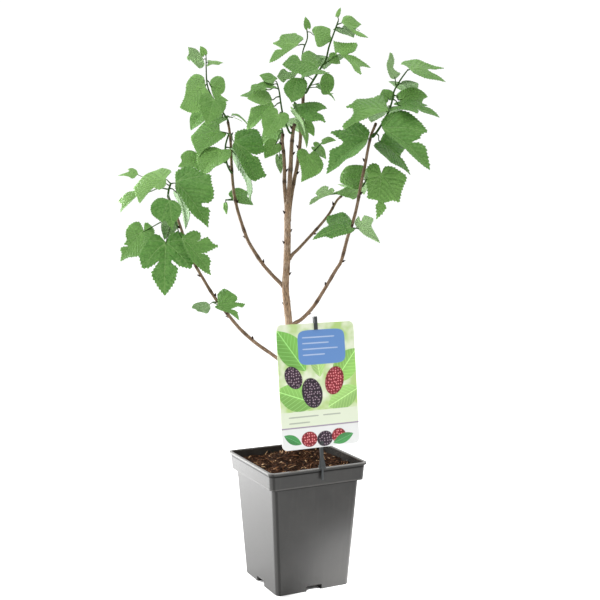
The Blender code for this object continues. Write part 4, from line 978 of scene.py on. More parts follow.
def make_shoot(shoot, first_number, finish, coarse):
    """A green shoot with its leaves, in the place of its plain solid."""
    making = Making(*LEAF_VALUES)
    coarse_path = smooth_path([seen(*p) for p in shoot.stem.points], 1)
    path = smooth_path([nearest_wood(coarse_path[0])] + coarse_path, STEM_STEPS)
    last = len(path) - 1
    radii = [STEM_SWELL * (shoot.stem.thick + (shoot.stem.thin - shoot.stem.thick) * i / last)
             for i in range(last + 1)]
    radii[-1] *= 0.6
    add_stalk(making, path, radii, STEM_SIDES, STEM_TONE)
    for i, leaf in enumerate(shoot.leaves):
        number = first_number + i
        points, faces, values = blade(leaf, number, coarse)
        place = values.pop("blade_place")
        making.add(points, faces, blade_place=place, stalk=0.0, **values)
        size = 1.0 if blade_frame(leaf)[0] >= SMALL_LEAF else 0.7
        stalk = petiole_path(leaf, number, coarse_path)
        count = len(stalk) - 1
        radii = []
        for k in range(count + 1):
            share = 1.0 + PETIOLE_SWELL * (1 - k / count) ** 6 - PETIOLE_TAPER * k / count
            radii.append(PETIOLE_RADIUS * size * share)
        add_stalk(making, stalk, radii, PETIOLE_SIDES, PETIOLE_TONE)
    return making.piece(shoot.name + "_leaves", finish, plant_turn())


# Woody stems

BUD_SPACING = 34.0
BUD_SIZE = 1.3
# Buds on the trunk, as shares of its length, and its swollen places, in millimetres from its foot
TRUNK_BUDS = (0.52, 0.66, 0.79, 0.84, 0.93)
TRUNK_KNOTS = [60, 118, 190, 236, 282, 322, 364]
TRUNK_KNOTTED = 0.15
KNOT_SPAN = 2.6
KNOT_SWELL = 0.16
BRANCH_FLARE = 0.9
FLARE_SPAN = 5.0
WOOD_STEP = 71.0
THICK_WOOD = 4
TRUNK_SIDES = 24
BRANCH_SIDES = 16
BUD_SIDES = 10
BARK_WOBBLE = 0.05
# A bud's outline: how far along it and how wide
BUD_PROFILE = ((-0.6, 0.72), (0.0, 1.0), (0.6, 1.16), (1.3, 1.12), (1.35, 0.98), (2.1, 0.86), (2.15, 0.74),
               (2.9, 0.50), (3.5, 0.26), (3.9, 0.08))


def bud_place(path, share, turn, number):
    """Where a bud sits on a stem's axis, the stem's direction there, and the side the bud is on."""
    at, along = point_along(path, share)
    flat = along.cross(Vector((0, 1, 0))).normalized()
    side = flat * (-1) ** turn + Vector((0, 0.5 * math.sin(2.4 * turn + number), 0))
    return at, along, side.normalized()


def bark_wobble(seed):
    """A stem's slight unevenness, from the angle round it and the place along it."""
    def wobble(angle, far):
        return 1 + BARK_WOBBLE * noise.noise(Vector((math.cos(angle), math.sin(angle), 0.14 * far + seed)))
    return wobble


def knot_swell(far, knots):
    return sum(math.exp(-((far - knot) / KNOT_SPAN) ** 2) for knot in knots)


def add_wood(making, path, stem, knots, sides, seed, flare, knotted=1.0):
    """One woody stem with swollen knots and a flared foot."""
    reached = lengths_of(path)
    radii = []
    for i, far in enumerate(reached):
        plain = stem.thick + (stem.thin - stem.thick) * i / (len(path) - 1)
        swell = 1 + KNOT_SWELL * knotted * knot_swell(far, knots)
        radii.append(plain * swell + flare * math.exp(-far / FLARE_SPAN))
    points, faces, places = sweep(path, radii, sides, bark_wobble(seed))
    knotty = [knotted * min(1.0, knot_swell(place.z, knots)) for place in places]
    grain = []
    for place in places:
        _, forward = at_length(path, reached, place.z)
        grain.append(plant_turn().to_3x3() @ forward)
    making.add(points, faces, bark_place=[place + Vector((0, 0, WOOD_STEP * seed)) for place in places],
               knot=knotty, grain=grain, bud=0.0, thin_stem=1.0 if stem.thick < THICK_WOOD else 0.0)


def add_bud(making, at, along, side):
    """A pointed bud of overlapping scales on a small cushion over a leaf scar."""
    lean = (along * 0.8 + 0.75 * side).normalized()
    path = [at + lean * far * BUD_SIZE for far, _ in BUD_PROFILE]
    points, faces, places = sweep(path, [radius * BUD_SIZE for _, radius in BUD_PROFILE], BUD_SIDES)
    making.add(points, faces, bark_place=places, knot=1.0, grain=Vector((0, 0, 1)), bud=1.0, thin_stem=1.0)


WOOD_VALUES = ("bark_place", "knot", "grain", "bud", "thin_stem")


def make_wood(finish):
    """The trunk, its branches, knots and buds, in the place of the plain woody solid."""
    making = Making(*WOOD_VALUES)
    trunk = smooth_path([seen(*p) for p in TRUNK.points], 8)
    add_wood(making, trunk, TRUNK, TRUNK_KNOTS, TRUNK_SIDES, 1, 0.0, TRUNK_KNOTTED)
    for i, share in enumerate(TRUNK_BUDS):
        at, along, side = bud_place(trunk, share, i, 1)
        add_bud(making, at + side * TRUNK.thin * 0.8, along, side)
    for number, stem in enumerate(BRANCHES.values()):
        joints = [seen(*p) for p in stem.points]
        plain = smooth_path(joints, 2 if len(joints) < 8 else 1)
        path = smooth_path(joints, 6)
        length = lengths_of(plain)[-1]
        count = int(length / BUD_SPACING)
        knots = []
        for i in range(1, count):
            at, along, side = bud_place(plain, (i + 0.4) / count, i, number)
            add_bud(making, at + side * stem.thin * 0.75, along, side)
            knots.append(length * (i + 0.4) / count)
        knots.append(length * 0.99)
        add_wood(making, path, stem, knots, BRANCH_SIDES, 2 + number, BRANCH_FLARE)
    return making.piece("bark_and_buds", finish, plant_turn())


# Pieces that follow a plain solid's own mesh

SHARP_TURN = math.radians(40)
SMOOTH_TURN = math.radians(38)
FLAT_TURN = math.radians(0.6)


def copy_of(node, name, finish, bevel, segments):
    """A smooth copy of a solid with its edges rounded by a bevel."""
    shape = bmesh.new()
    shape.from_mesh(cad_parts[node].data)
    bmesh.ops.remove_doubles(shape, verts=shape.verts, dist=1e-6)
    bmesh.ops.dissolve_limit(shape, angle_limit=FLAT_TURN, verts=shape.verts, edges=shape.edges)
    mesh = bpy.data.meshes.new(name)
    shape.to_mesh(mesh)
    shape.free()
    mesh.materials.clear()
    mesh.materials.append(finish)
    made = placed(name, mesh)
    rounding = made.modifiers.new("rounded_edges", "BEVEL")
    rounding.width = bevel * MM
    rounding.segments = segments
    rounding.limit_method = "ANGLE"
    rounding.angle_limit = SHARP_TURN
    settle(made)
    smooth_under(made, SMOOTH_TURN)
    even = made.modifiers.new("even_walls", "WEIGHTED_NORMAL")
    even.weight = 100
    even.keep_sharp = True
    return settle(made)


def settle(obj):
    """Turns the evaluated object into a plain mesh and takes its modifiers off."""
    bpy.context.view_layer.update()
    graph = bpy.context.evaluated_depsgraph_get()
    obj.data = bpy.data.meshes.new_from_object(obj.evaluated_get(graph))
    obj.modifiers.clear()
    return obj


def smooth_under(obj, turn):
    """Smooth shading, with a sharp edge wherever two faces turn by more than that angle."""
    shape = bmesh.new()
    shape.from_mesh(obj.data)
    for face in shape.faces:
        face.smooth = True
    for edge in shape.edges:
        edge.smooth = len(edge.link_faces) == 2 and edge.calc_face_angle(0.0) < turn
    shape.to_mesh(obj.data)
    shape.free()


# Geometry Nodes

def tree_with(name, values):
    """A geometry tree with a named input for each value, its two end nodes, and the values by identifier."""
    tree = bpy.data.node_groups.new(name, "GeometryNodeTree")
    for way in ("INPUT", "OUTPUT"):
        tree.interface.new_socket("Geometry", in_out=way, socket_type="NodeSocketGeometry")
    settings = {}
    for key, value in values.items():
        kind = "NodeSocketInt" if isinstance(value, int) else "NodeSocketFloat"
        socket = tree.interface.new_socket(key, in_out="INPUT", socket_type=kind)
        socket.default_value = value
        settings[socket.identifier] = value
    return tree, tree.nodes.new("NodeGroupInput").outputs, tree.nodes.new("NodeGroupOutput"), settings


def node(tree, kind, inputs=None, **settings):
    """Adds a node, with its settings, and with values or links for its inputs."""
    made = tree.nodes.new(kind)
    for key, value in settings.items():
        setattr(made, key, value)
    for key, value in (inputs or {}).items():
        socket = made.inputs[key]
        if isinstance(value, bpy.types.NodeSocket):
            tree.links.new(value, socket)
        else:
            socket.default_value = value
    return made


RANDOM_KINDS = ("FLOAT_VECTOR", "FLOAT", "INT")


def random_of(tree, kind, low, high, seed):
    """A random value for each point, between two values of its kind."""
    rank = RANDOM_KINDS.index(kind)
    made = node(tree, "FunctionNodeRandomValue", {2 * rank: low, 2 * rank + 1: high, "Seed": seed},
                data_type=kind)
    return made.outputs[rank]


def scattered(tree, given, **limits):
    """Points spread over the surface no closer than the spacing, and a random size for each."""
    surface = {"Mesh": given["Geometry"], "Distance Min": given["Spacing"], "Density Max": given["Density"],
               "Seed": given["Seed"], **limits}
    spread = node(tree, "GeometryNodeDistributePointsOnFaces", surface, distribute_method="POISSON")
    return spread.outputs, random_of(tree, "FLOAT", given["Smallest"], given["Largest"], given["Seed"])


def made_real(tree, laid, finish):
    """The laid pieces as a mesh of their own, with their material."""
    real = node(tree, "GeometryNodeRealizeInstances", {"Geometry": laid})
    painted = node(tree, "GeometryNodeSetMaterial", {"Geometry": real.outputs[0], "Material": finish})
    return painted.outputs[0]


def grown(obj, tree, settings):
    """Runs a geometry tree on an object and keeps the result as its plain mesh."""
    change = obj.modifiers.new(tree.name, "NODES")
    change.node_group = tree
    for identifier, value in settings.items():
        change[identifier] = value
    return settle(obj)


def helper_mesh(name, points, faces, attributes=None):
    """A small mesh, in metres, that a tree repeats. It is not shown itself."""
    mesh = bpy.data.meshes.new(name)
    mesh.from_pydata([Vector(p) * MM for p in points], [], faces)
    for key, value in (attributes or {}).items():
        stored = mesh.attributes.new(key, "FLOAT", "POINT")
        stored.data.foreach_set("value", [value] * len(points))
    mesh.shade_smooth()
    return bpy.data.objects.new(name, mesh)


# Potting mix

CRUMB_STEP = 1.5
# The crumbs' unevenness in three sizes: height, fineness and a place in the noise
CRUMBS = ((1.5, 0.16, 3.0), (1.0, 0.42, 8.0), (0.6, 1.1, 5.0))
TOP_LAYER = 8.0
CHIP_LAYER = 6.0
CHIP_MARGIN = 5.0
CHIPS = {"Spacing": 1.7 * MM, "Density": 300000.0, "Smallest": 0.7, "Largest": 1.5, "Tilt": 0.5, "Seed": 4}
CHIP_TONE_SEED = 7

# Shapes of bark chips: length, width, thickness, bend, twist and number of stretches
CHIP_SHAPES = {
    "splinter": (7.0, 0.9, 0.6, 0.8, 0.9, 4),
    "fibre": (10.5, 0.5, 0.4, 1.9, 0.6, 5),
    "flake": (3.8, 2.2, 0.7, 0.3, 0.4, 3),
    "crumb": (2.3, 1.7, 1.4, 0.1, 0.5, 3),
    "shred": (5.0, 1.2, 0.45, 1.1, 1.4, 4),
    "nib": (2.8, 1.2, 1.0, 0.2, 0.8, 3),
}


def soil_height(x, y):
    """The lumpy top of the potting mix, in millimetres, as its solid has it."""
    lumps = (math.sin(0.31 * x + 1.3 * math.sin(0.17 * y)) + math.sin(0.27 * y + 1.1 * math.sin(0.21 * x))
             + 0.7 * math.sin(0.62 * x - 0.45 * y) + 0.6 * math.sin(0.55 * y + 0.71 * x + 1.0))
    off = math.hypot(x - MOUND_AT[0], y - MOUND_AT[1]) / MOUND_SPREAD
    return SOIL_TOP + 0.7 * lumps + MOUND_RISE * math.exp(-off * off)


def crumbly(x, y):
    """The solid's height with the crumbs of the mix on it."""
    large, middling, small = (height * noise.noise(Vector((fine * x, fine * y, layer)))
                              for height, fine, layer in CRUMBS)
    return soil_height(x, y) + (large + middling) + small


def collar_side(z):
    """How wide the collar is outside, at a height."""
    spread = COLLAR_TOP_SIDE - COLLAR_FOOT_SIDE
    return COLLAR_FOOT_SIDE + spread * (z - POT_HEIGHT + COLLAR_HEIGHT) / COLLAR_HEIGHT


def make_mix_top(finish):
    """The crumbly top layer of the mix, a closed slab that fits the collar's walls."""
    side = collar_side(SOIL_TOP) - 2 * (WALL + GAP)
    cells = int(side / CRUMB_STEP)
    corner = CORNER - WALL - GAP
    shape = bmesh.new()
    bmesh.ops.create_grid(shape, x_segments=cells, y_segments=cells, size=side / 2)
    for vertex in shape.verts:
        x, y = vertex.co.x, vertex.co.y
        limit = side / 2 - corner
        if abs(x) > limit and abs(y) > limit:
            off = Vector((abs(x) - limit, abs(y) - limit))
            square = max(off.x, off.y)
            off = off.normalized() * square if off.length > 0 else off
            vertex.co.x = math.copysign(limit + off.x, x)
            vertex.co.y = math.copysign(limit + off.y, y)
        vertex.co.z = crumbly(vertex.co.x, vertex.co.y)
    lid = bmesh.ops.extrude_face_region(shape, geom=shape.faces[:])
    for part in lid["geom"]:
        if isinstance(part, bmesh.types.BMVert):
            part.co.z = SOIL_TOP - TOP_LAYER
    bmesh.ops.recalc_face_normals(shape, faces=shape.faces)
    if shape.calc_volume(signed=True) < 0:
        bmesh.ops.reverse_faces(shape, faces=shape.faces)
    shape.transform(Matrix.Scale(MM, 4))
    mesh = bpy.data.meshes.new("mix_top")
    shape.to_mesh(mesh)
    shape.free()
    mesh.shade_smooth()
    mesh.materials.append(finish)
    return placed("mix_top", mesh)


def bent_strip(name, length, width, thick, bend, twist, parts):
    """A bark chip: a flat bar in a few stretches, bent and twisted, with slimmer ends."""
    points, faces = [], []
    for i in range(parts + 1):
        t = i / parts - 0.5
        slim = 1 - 0.65 * (2 * abs(t)) ** 2
        turn = twist * t
        middle = Vector((length * t, 0, bend * (0.25 - t * t)))
        for across, up in ((-1, -1), (1, -1), (1, 1), (-1, 1)):
            y, z = across * width / 2 * slim, up * thick / 2 * slim
            points.append(middle + Vector((0, y * math.cos(turn) - z * math.sin(turn),
                                           y * math.sin(turn) + z * math.cos(turn))))
    for i in range(parts):
        for k in range(4):
            k2 = (k + 1) % 4
            faces.append((4 * i + k, 4 * i + 4 + k, 4 * i + 4 + k2, 4 * i + k2))
    faces += [(0, 1, 2, 3), (4 * parts + 3, 4 * parts + 2, 4 * parts + 1, 4 * parts)]
    return helper_mesh(name, points, faces)


def chip_tree(finish):
    """Lays chips of several shapes over a surface, turned, tilted and sized by a fixed seed."""
    tree, given, end, settings = tree_with("bark_chips", CHIPS)
    spread, size = scattered(tree, given)
    group = bpy.data.collections.new("bark_chips_shapes")
    for name, sizes in CHIP_SHAPES.items():
        group.objects.link(bent_strip(name, *sizes))
    chips = node(tree, "GeometryNodeCollectionInfo", {"Collection": group, "Separate Children": True,
                                                      "Reset Children": True})
    tilt = given["Tilt"]
    back = node(tree, "ShaderNodeMath", {0: tilt, 1: -1.0}, operation="MULTIPLY").outputs[0]
    low = node(tree, "ShaderNodeCombineXYZ", {"X": back, "Y": back, "Z": 0.0}).outputs[0]
    high = node(tree, "ShaderNodeCombineXYZ", {"X": tilt, "Y": tilt, "Z": 2 * math.pi}).outputs[0]
    turn = random_of(tree, "FLOAT_VECTOR", low, high, given["Seed"])
    which = random_of(tree, "INT", 0, len(CHIP_SHAPES) - 1, given["Seed"])
    laid = node(tree, "GeometryNodeInstanceOnPoints",
                {"Points": spread["Points"], "Instance": chips.outputs[0], "Pick Instance": True,
                 "Instance Index": which, "Rotation": turn, "Scale": size})
    toned = node(tree, "GeometryNodeStoreNamedAttribute",
                 {"Geometry": laid.outputs[0], "Name": "tone",
                  "Value": random_of(tree, "FLOAT", 0.0, 1.0, CHIP_TONE_SEED)},
                 data_type="FLOAT", domain="INSTANCE")
    tree.links.new(made_real(tree, toned.outputs[0], finish), end.inputs["Geometry"])
    return tree, settings


def make_chips(top, finish):
    """Bark chips and fibres strewn over the mix, clear of the pot's walls."""
    mesh = top.data.copy()
    chips = placed("bark_chips", mesh)
    shape = bmesh.new()
    shape.from_mesh(mesh)
    edge = (collar_side(SOIL_TOP) / 2 - WALL - CHIP_MARGIN) * MM
    low = (SOIL_TOP - CHIP_LAYER) * MM
    away = []
    for face in shape.faces:
        middle = face.calc_center_median()
        outside = max(abs(middle.x), abs(middle.y)) > edge
        if face.normal.z < 0.1 or outside or min(corner.co.z for corner in face.verts) < low:
            away.append(face)
    bmesh.ops.delete(shape, geom=away, context="FACES")
    shape.to_mesh(mesh)
    shape.free()
    return grown(chips, *chip_tree(finish))


# Bark pores

PORES = {"Spacing": 3.0 * MM, "Density": 45000.0, "Smallest": 0.7, "Largest": 1.3, "Seed": 3}
PORE_LENGTH = 0.62
PORE_WIDTH = 0.36
PORE_TOP = 0.34
PORE_ROOT = -0.2
# The pore's two rings below its top: how much of its size, and how high
PORE_RINGS = ((0.55, 0.22), (1.0, -0.1))


def pore_shape():
    """A small raised pore, longer along x."""
    points, faces = [Vector((0, 0, PORE_TOP))], []
    for share, height in PORE_RINGS:
        for k in range(6):
            angle = math.pi * k / 3
            points.append(Vector((PORE_LENGTH * share * math.cos(angle), PORE_WIDTH * share * math.sin(angle),
                                  height)))
    points.append(Vector((0, 0, PORE_ROOT)))
    for k in range(6):
        k2 = (k + 1) % 6
        faces += [(0, 1 + k, 1 + k2), (1 + k, 7 + k, 7 + k2, 1 + k2), (13, 7 + k2, 7 + k)]
    return helper_mesh("pore", points, faces, {"pore": 1.0})


def add_pores(wood, finish):
    """Raised pores set on the bark by a tree, with their long side along the stem."""
    tree, given, end, settings = tree_with("bark_pores", PORES)
    is_bud = node(tree, "GeometryNodeInputNamedAttribute", {"Name": "bud"}, data_type="FLOAT")
    plain = node(tree, "FunctionNodeCompare", {0: is_bud.outputs[0], 1: 0.01}, data_type="FLOAT",
                 operation="LESS_THAN")
    spread, size = scattered(tree, given, Selection=plain.outputs[0])
    grain = node(tree, "GeometryNodeInputNamedAttribute", {"Name": "grain"}, data_type="FLOAT_VECTOR")
    aimed = node(tree, "FunctionNodeAlignRotationToVector",
                 {"Rotation": spread["Rotation"], "Vector": grain.outputs[0]}, axis="X", pivot_axis="Z")
    source = node(tree, "GeometryNodeObjectInfo", {"Object": pore_shape()})
    set_on = node(tree, "GeometryNodeInstanceOnPoints",
                  {"Points": spread["Points"], "Instance": source.outputs["Geometry"],
                   "Rotation": aimed.outputs[0], "Scale": size})
    both = tree.nodes.new("GeometryNodeJoinGeometry")
    tree.links.new(given["Geometry"], both.inputs[0])
    tree.links.new(made_real(tree, set_on.outputs[0], finish), both.inputs[0])
    tree.links.new(both.outputs[0], end.inputs["Geometry"])
    return grown(wood, tree, settings)


# Plant label

CARD_TURN = math.radians(30)


def card_frame():
    """The card's frame: x along its width, y up its face, z out of its printed side."""
    lean = math.radians(CARD_LEAN)
    strip = CARD_THICK / 2 + CARD_GAP + STAKE_THICK / 2
    clip = -RIM_SIDE / 2 - GAP - STAKE_THICK / 2
    foot = clip - strip / math.cos(lean) + (CARD_FOOT_Z - POT_HEIGHT) * math.tan(lean)
    upright = Matrix.Rotation(math.radians(90) - lean, 4, "X")
    return Matrix.Translation((STAKE_X, foot, CARD_FOOT_Z)) @ upright


def arc(centre, radius, start, sweep_angle, steps):
    return [centre + radius * Vector((math.cos(a), math.sin(a)))
            for a in (math.radians(start + sweep_angle * i / steps) for i in range(steps + 1))]


def make_card(finish):
    """The printed card, with round corners, the hook's slot and the button's hole."""
    low, high = CARD_CORNER, CARD_HEIGHT - CARD_CORNER
    far = CARD_WIDTH / 2 - CARD_CORNER
    rim = []
    for x, y, start in ((far, high, 0), (-far, high, 90), (-far, low, 180), (far, low, 270)):
        rim += arc(Vector((x, y)), CARD_CORNER, start, 90, 10)
    foot = CARD_HEIGHT - HOOK_DROP - HOLE_CLEARANCE
    top = CARD_HEIGHT - HOOK_DROP + STAKE_THICK + HOLE_CLEARANCE
    half = STAKE_WIDTH / 2 + HOLE_CLEARANCE
    slot = [Vector(corner) for corner in ((-half, foot), (-half, top), (half, top), (half, foot))]
    hole = arc(Vector((0, HOLE_FROM_FOOT)), BUTTON_RADIUS + HOLE_CLEARANCE, 360, -345, 23)
    flat, loops = [], []
    for line in (rim, slot, hole):
        loops.append(list(range(len(flat), len(flat) + len(line))))
        flat += line
    flat, _, faces, _, _, _ = delaunay_2d_cdt(flat, [], loops, 3, 1e-6)
    points = [Vector((p.x, p.y, up)) for up in (CARD_THICK / 2, -CARD_THICK / 2) for p in flat]
    making = Making("print_place")
    making.add(points, thickened(faces, len(flat), mirrored=False), print_place=points)
    card = making.piece("printed_label", finish, card_frame())
    smooth_under(card, CARD_TURN)
    return card


# Finishes

class Paint:
    """The nodes of a material or of the sky, added in short steps."""

    def __init__(self, tree):
        self.tree = tree

    def node(self, kind, inputs=None, **settings):
        return node(self.tree, kind, inputs, **settings)

    def attribute(self, name, output="Fac"):
        found = self.node("ShaderNodeAttribute", attribute_name=name, attribute_type="GEOMETRY")
        return found.outputs[output]

    def object_place(self):
        return self.node("ShaderNodeTexCoord").outputs["Object"]

    def stretched(self, place, along):
        """The place with its last measure scaled, so that a pattern runs lengthwise."""
        return self.node("ShaderNodeMapping", {"Vector": place, "Scale": (1.0, 1.0, along)}).outputs[0]

    def parts(self, place):
        return list(self.node("ShaderNodeSeparateXYZ", {"Vector": place}).outputs)

    def aligned(self, one, other):
        """How far two directions agree."""
        made = self.node("ShaderNodeVectorMath", {0: one, 1: other}, operation="DOT_PRODUCT")
        return made.outputs["Value"]

    def math(self, operation, *values):
        return self.node("ShaderNodeMath", dict(enumerate(values)), operation=operation).outputs[0]

    def times(self, one, other):
        return self.math("MULTIPLY", one, other)

    def plus(self, one, other):
        return self.math("ADD", one, other)

    def minus(self, one, other):
        return self.math("SUBTRACT", one, other)

    def ramp(self, value, low, high, to_low=0.0, to_high=1.0):
        """The value's place between low and high, eased, as a value between the other two."""
        span = {"Value": value, "From Min": low, "From Max": high, "To Min": to_low, "To Max": to_high}
        return self.node("ShaderNodeMapRange", span, interpolation_type="SMOOTHSTEP").outputs[0]

    def fall(self, value, low, high):
        return self.ramp(value, low, high, 1.0, 0.0)

    def within(self, value, start, full, ebb, end):
        """A mask that rises from start to full and falls from ebb to end."""
        return self.times(self.ramp(value, start, full), self.fall(value, ebb, end))

    def mixed(self, share, under, over):
        """The colour under, covered by the colour over as far as share says."""
        under, over = (colour if isinstance(colour, bpy.types.NodeSocket) else (*colour, 1.0)
                       for colour in (under, over))
        return self.node("ShaderNodeMix", {0: share, 6: under, 7: over}, data_type="RGBA").outputs[2]

    def layered(self, ground, *layers):
        """The ground under layers, each with its mask, the most that it covers, and its colour."""
        for mask, most, colour in layers:
            ground = self.mixed(self.times(mask, most), ground, colour)
        return ground

    def noise(self, place, scale, detail=2.0, roughness=0.5):
        return self.node("ShaderNodeTexNoise", {"Vector": place, "Scale": scale, "Detail": detail,
                                                "Roughness": roughness}).outputs[0]

    def cells(self, place, scale, **settings):
        """Distances in a pattern of cells, from their middles or, by a setting, from their borders."""
        made = self.node("ShaderNodeTexVoronoi", {"Vector": place, "Scale": scale}, **settings)
        return made.outputs["Distance"]

    def bumped(self, height, distance, strength, normal=None):
        made = self.node("ShaderNodeBump", {"Height": height, "Distance": distance, "Strength": strength})
        if normal is not None:
            self.tree.links.new(normal, made.inputs["Normal"])
        return made.outputs[0]


class Finish(Paint):
    """A material in the making, with its shader's plain values."""

    def __init__(self, name, roughness, **sockets):
        self.made = bpy.data.materials.new(name)
        self.made.use_nodes = True
        super().__init__(self.made.node_tree)
        self.shader = self.tree.nodes["Principled BSDF"]
        self.shader.inputs["Roughness"].default_value = roughness
        for key, value in sockets.items():
            self.shader.inputs[key.replace("_", " ")].default_value = value

    def feed(self, socket, value):
        self.tree.links.new(value, self.shader.inputs[socket])


def leaf_finish():
    """Soft matt green with lighter veins edged by painted shade and a fine net between them, paler on the
    underside.
    """
    leaf = Finish("mulberry_leaf", 0.55, Specular_IOR_Level=0.28)
    place = leaf.attribute("blade_place", "Vector")
    main, side, rim, upper, tone, stalk = (
        leaf.attribute(name) for name in ("main_vein", "side_vein", "from_rim", "upper", "tone", "stalk"))
    patches = leaf.noise(place, 0.05)
    speckle = leaf.noise(place, 1.3)
    mottle = leaf.noise(place, 0.34, 3.0, 0.6)
    # Each leaf's tone, from its age or from TONES, which partly paints light and shade, with broad patches.
    age_and_painted_light = leaf.ramp(leaf.plus(tone, leaf.times(leaf.minus(patches, 0.5), 0.5)), 0.0, 1.0)
    cells = leaf.cells(place, 0.23, feature="DISTANCE_TO_EDGE")
    net = leaf.cells(place, 0.62, feature="DISTANCE_TO_EDGE")
    cell_line = leaf.fall(cells, 0.01, 0.09)
    net_line = leaf.fall(net, 0.02, 0.10)
    main_line = leaf.fall(main, 0.5, 1.2)
    side_line = leaf.fall(side, 0.1, 0.45)
    # Painted shade: a darker band along the side veins, where they lie in grooves of the blade.
    vein_groove_shade = leaf.fall(side, 0.25, 1.6)
    edge = leaf.fall(rim, 0.15, 0.7)
    green = leaf.layered(
        leaf.mixed(age_and_painted_light, (0.060, 0.195, 0.026), (0.215, 0.420, 0.100)),
        (leaf.ramp(mottle, 0.35, 0.65), 0.40, (0.210, 0.405, 0.105)),
        (leaf.ramp(speckle, 0.45, 0.75), 0.2, (0.060, 0.180, 0.026)),
        (vein_groove_shade, 0.34, (0.045, 0.135, 0.018)),
        (cell_line, 0.10, (0.17, 0.35, 0.08)),
        (net_line, 0.10, (0.17, 0.35, 0.08)),
        (side_line, 0.30, (0.20, 0.38, 0.10)),
        (main_line, 0.50, (0.25, 0.42, 0.14)),
        (edge, 0.3, (0.20, 0.38, 0.10)))
    pale = leaf.layered(
        leaf.mixed(age_and_painted_light, (0.070, 0.150, 0.047), (0.230, 0.390, 0.150)),
        (cell_line, 0.2, (0.19, 0.30, 0.14)),
        (net_line, 0.15, (0.19, 0.30, 0.14)),
        (side_line, 0.5, (0.19, 0.29, 0.14)),
        (main_line, 0.8, (0.28, 0.39, 0.21)))
    stem = leaf.mixed(speckle, (0.018, 0.052, 0.008), (0.046, 0.110, 0.018))
    leaf.feed("Base Color", leaf.mixed(stalk, leaf.mixed(upper, pale, green), stem))
    leaf.feed("Specular IOR Level", leaf.ramp(stalk, 0.0, 1.0, 0.28, 0.10))
    duller_under = leaf.times(leaf.minus(1.0, upper), 0.16)
    leaf.feed("Roughness", leaf.plus(leaf.ramp(speckle, 0.3, 0.7, 0.46, 0.58), duller_under))
    pillows = leaf.bumped(leaf.ramp(side, 0.0, 2.4), 0.0008, 0.85)
    cushions = leaf.bumped(leaf.ramp(cells, 0.0, 0.4), 0.0005, 0.8, pillows)
    height = leaf.plus(leaf.times(leaf.ramp(net, 0.0, 0.35), 0.7), leaf.times(speckle, 0.5))
    leaf.feed("Normal", leaf.bumped(height, 0.0003, 0.6, cushions))
    return leaf.made


def bark_finish():
    """Thin tan bark with fine lengthwise cracks, pale pores, and dark knots and bud scales."""
    bark = Finish("young_bark", 0.7, Specular_IOR_Level=0.15)
    place = bark.attribute("bark_place", "Vector")
    streaks = bark.noise(bark.stretched(place, 0.10), 1.5, 4.0, 0.6)
    blotches = bark.noise(place, 0.12, 3.0)
    fine = bark.noise(place, 3.2)
    brown = bark.layered(
        bark.mixed(bark.ramp(streaks, 0.36, 0.64), (0.085, 0.050, 0.029), (0.38, 0.258, 0.160)),
        (bark.ramp(blotches, 0.42, 0.68), 0.5, (0.40, 0.315, 0.235)),
        (bark.attribute("thin_stem"), 0.55, (0.120, 0.076, 0.047)),
        (bark.attribute("knot"), 0.85, (0.030, 0.019, 0.013)),
        (bark.attribute("pore"), 0.6, (0.40, 0.32, 0.24)))
    scales = bark.mixed(fine, (0.010, 0.006, 0.005), (0.045, 0.025, 0.017))
    bark.feed("Base Color", bark.mixed(bark.attribute("bud"), brown, scales))
    height = bark.plus(bark.times(streaks, 0.8), bark.times(fine, 0.25))
    bark.feed("Normal", bark.bumped(height, 0.0005, 0.55))
    bark.feed("Roughness", bark.ramp(streaks, 0.3, 0.7, 0.78, 0.6))
    return bark.made


# The way that the pot's corner nearest to the viewer faces; that corner gets painted shade
CORNER_WAY = (-0.45, -0.893, 0.0)


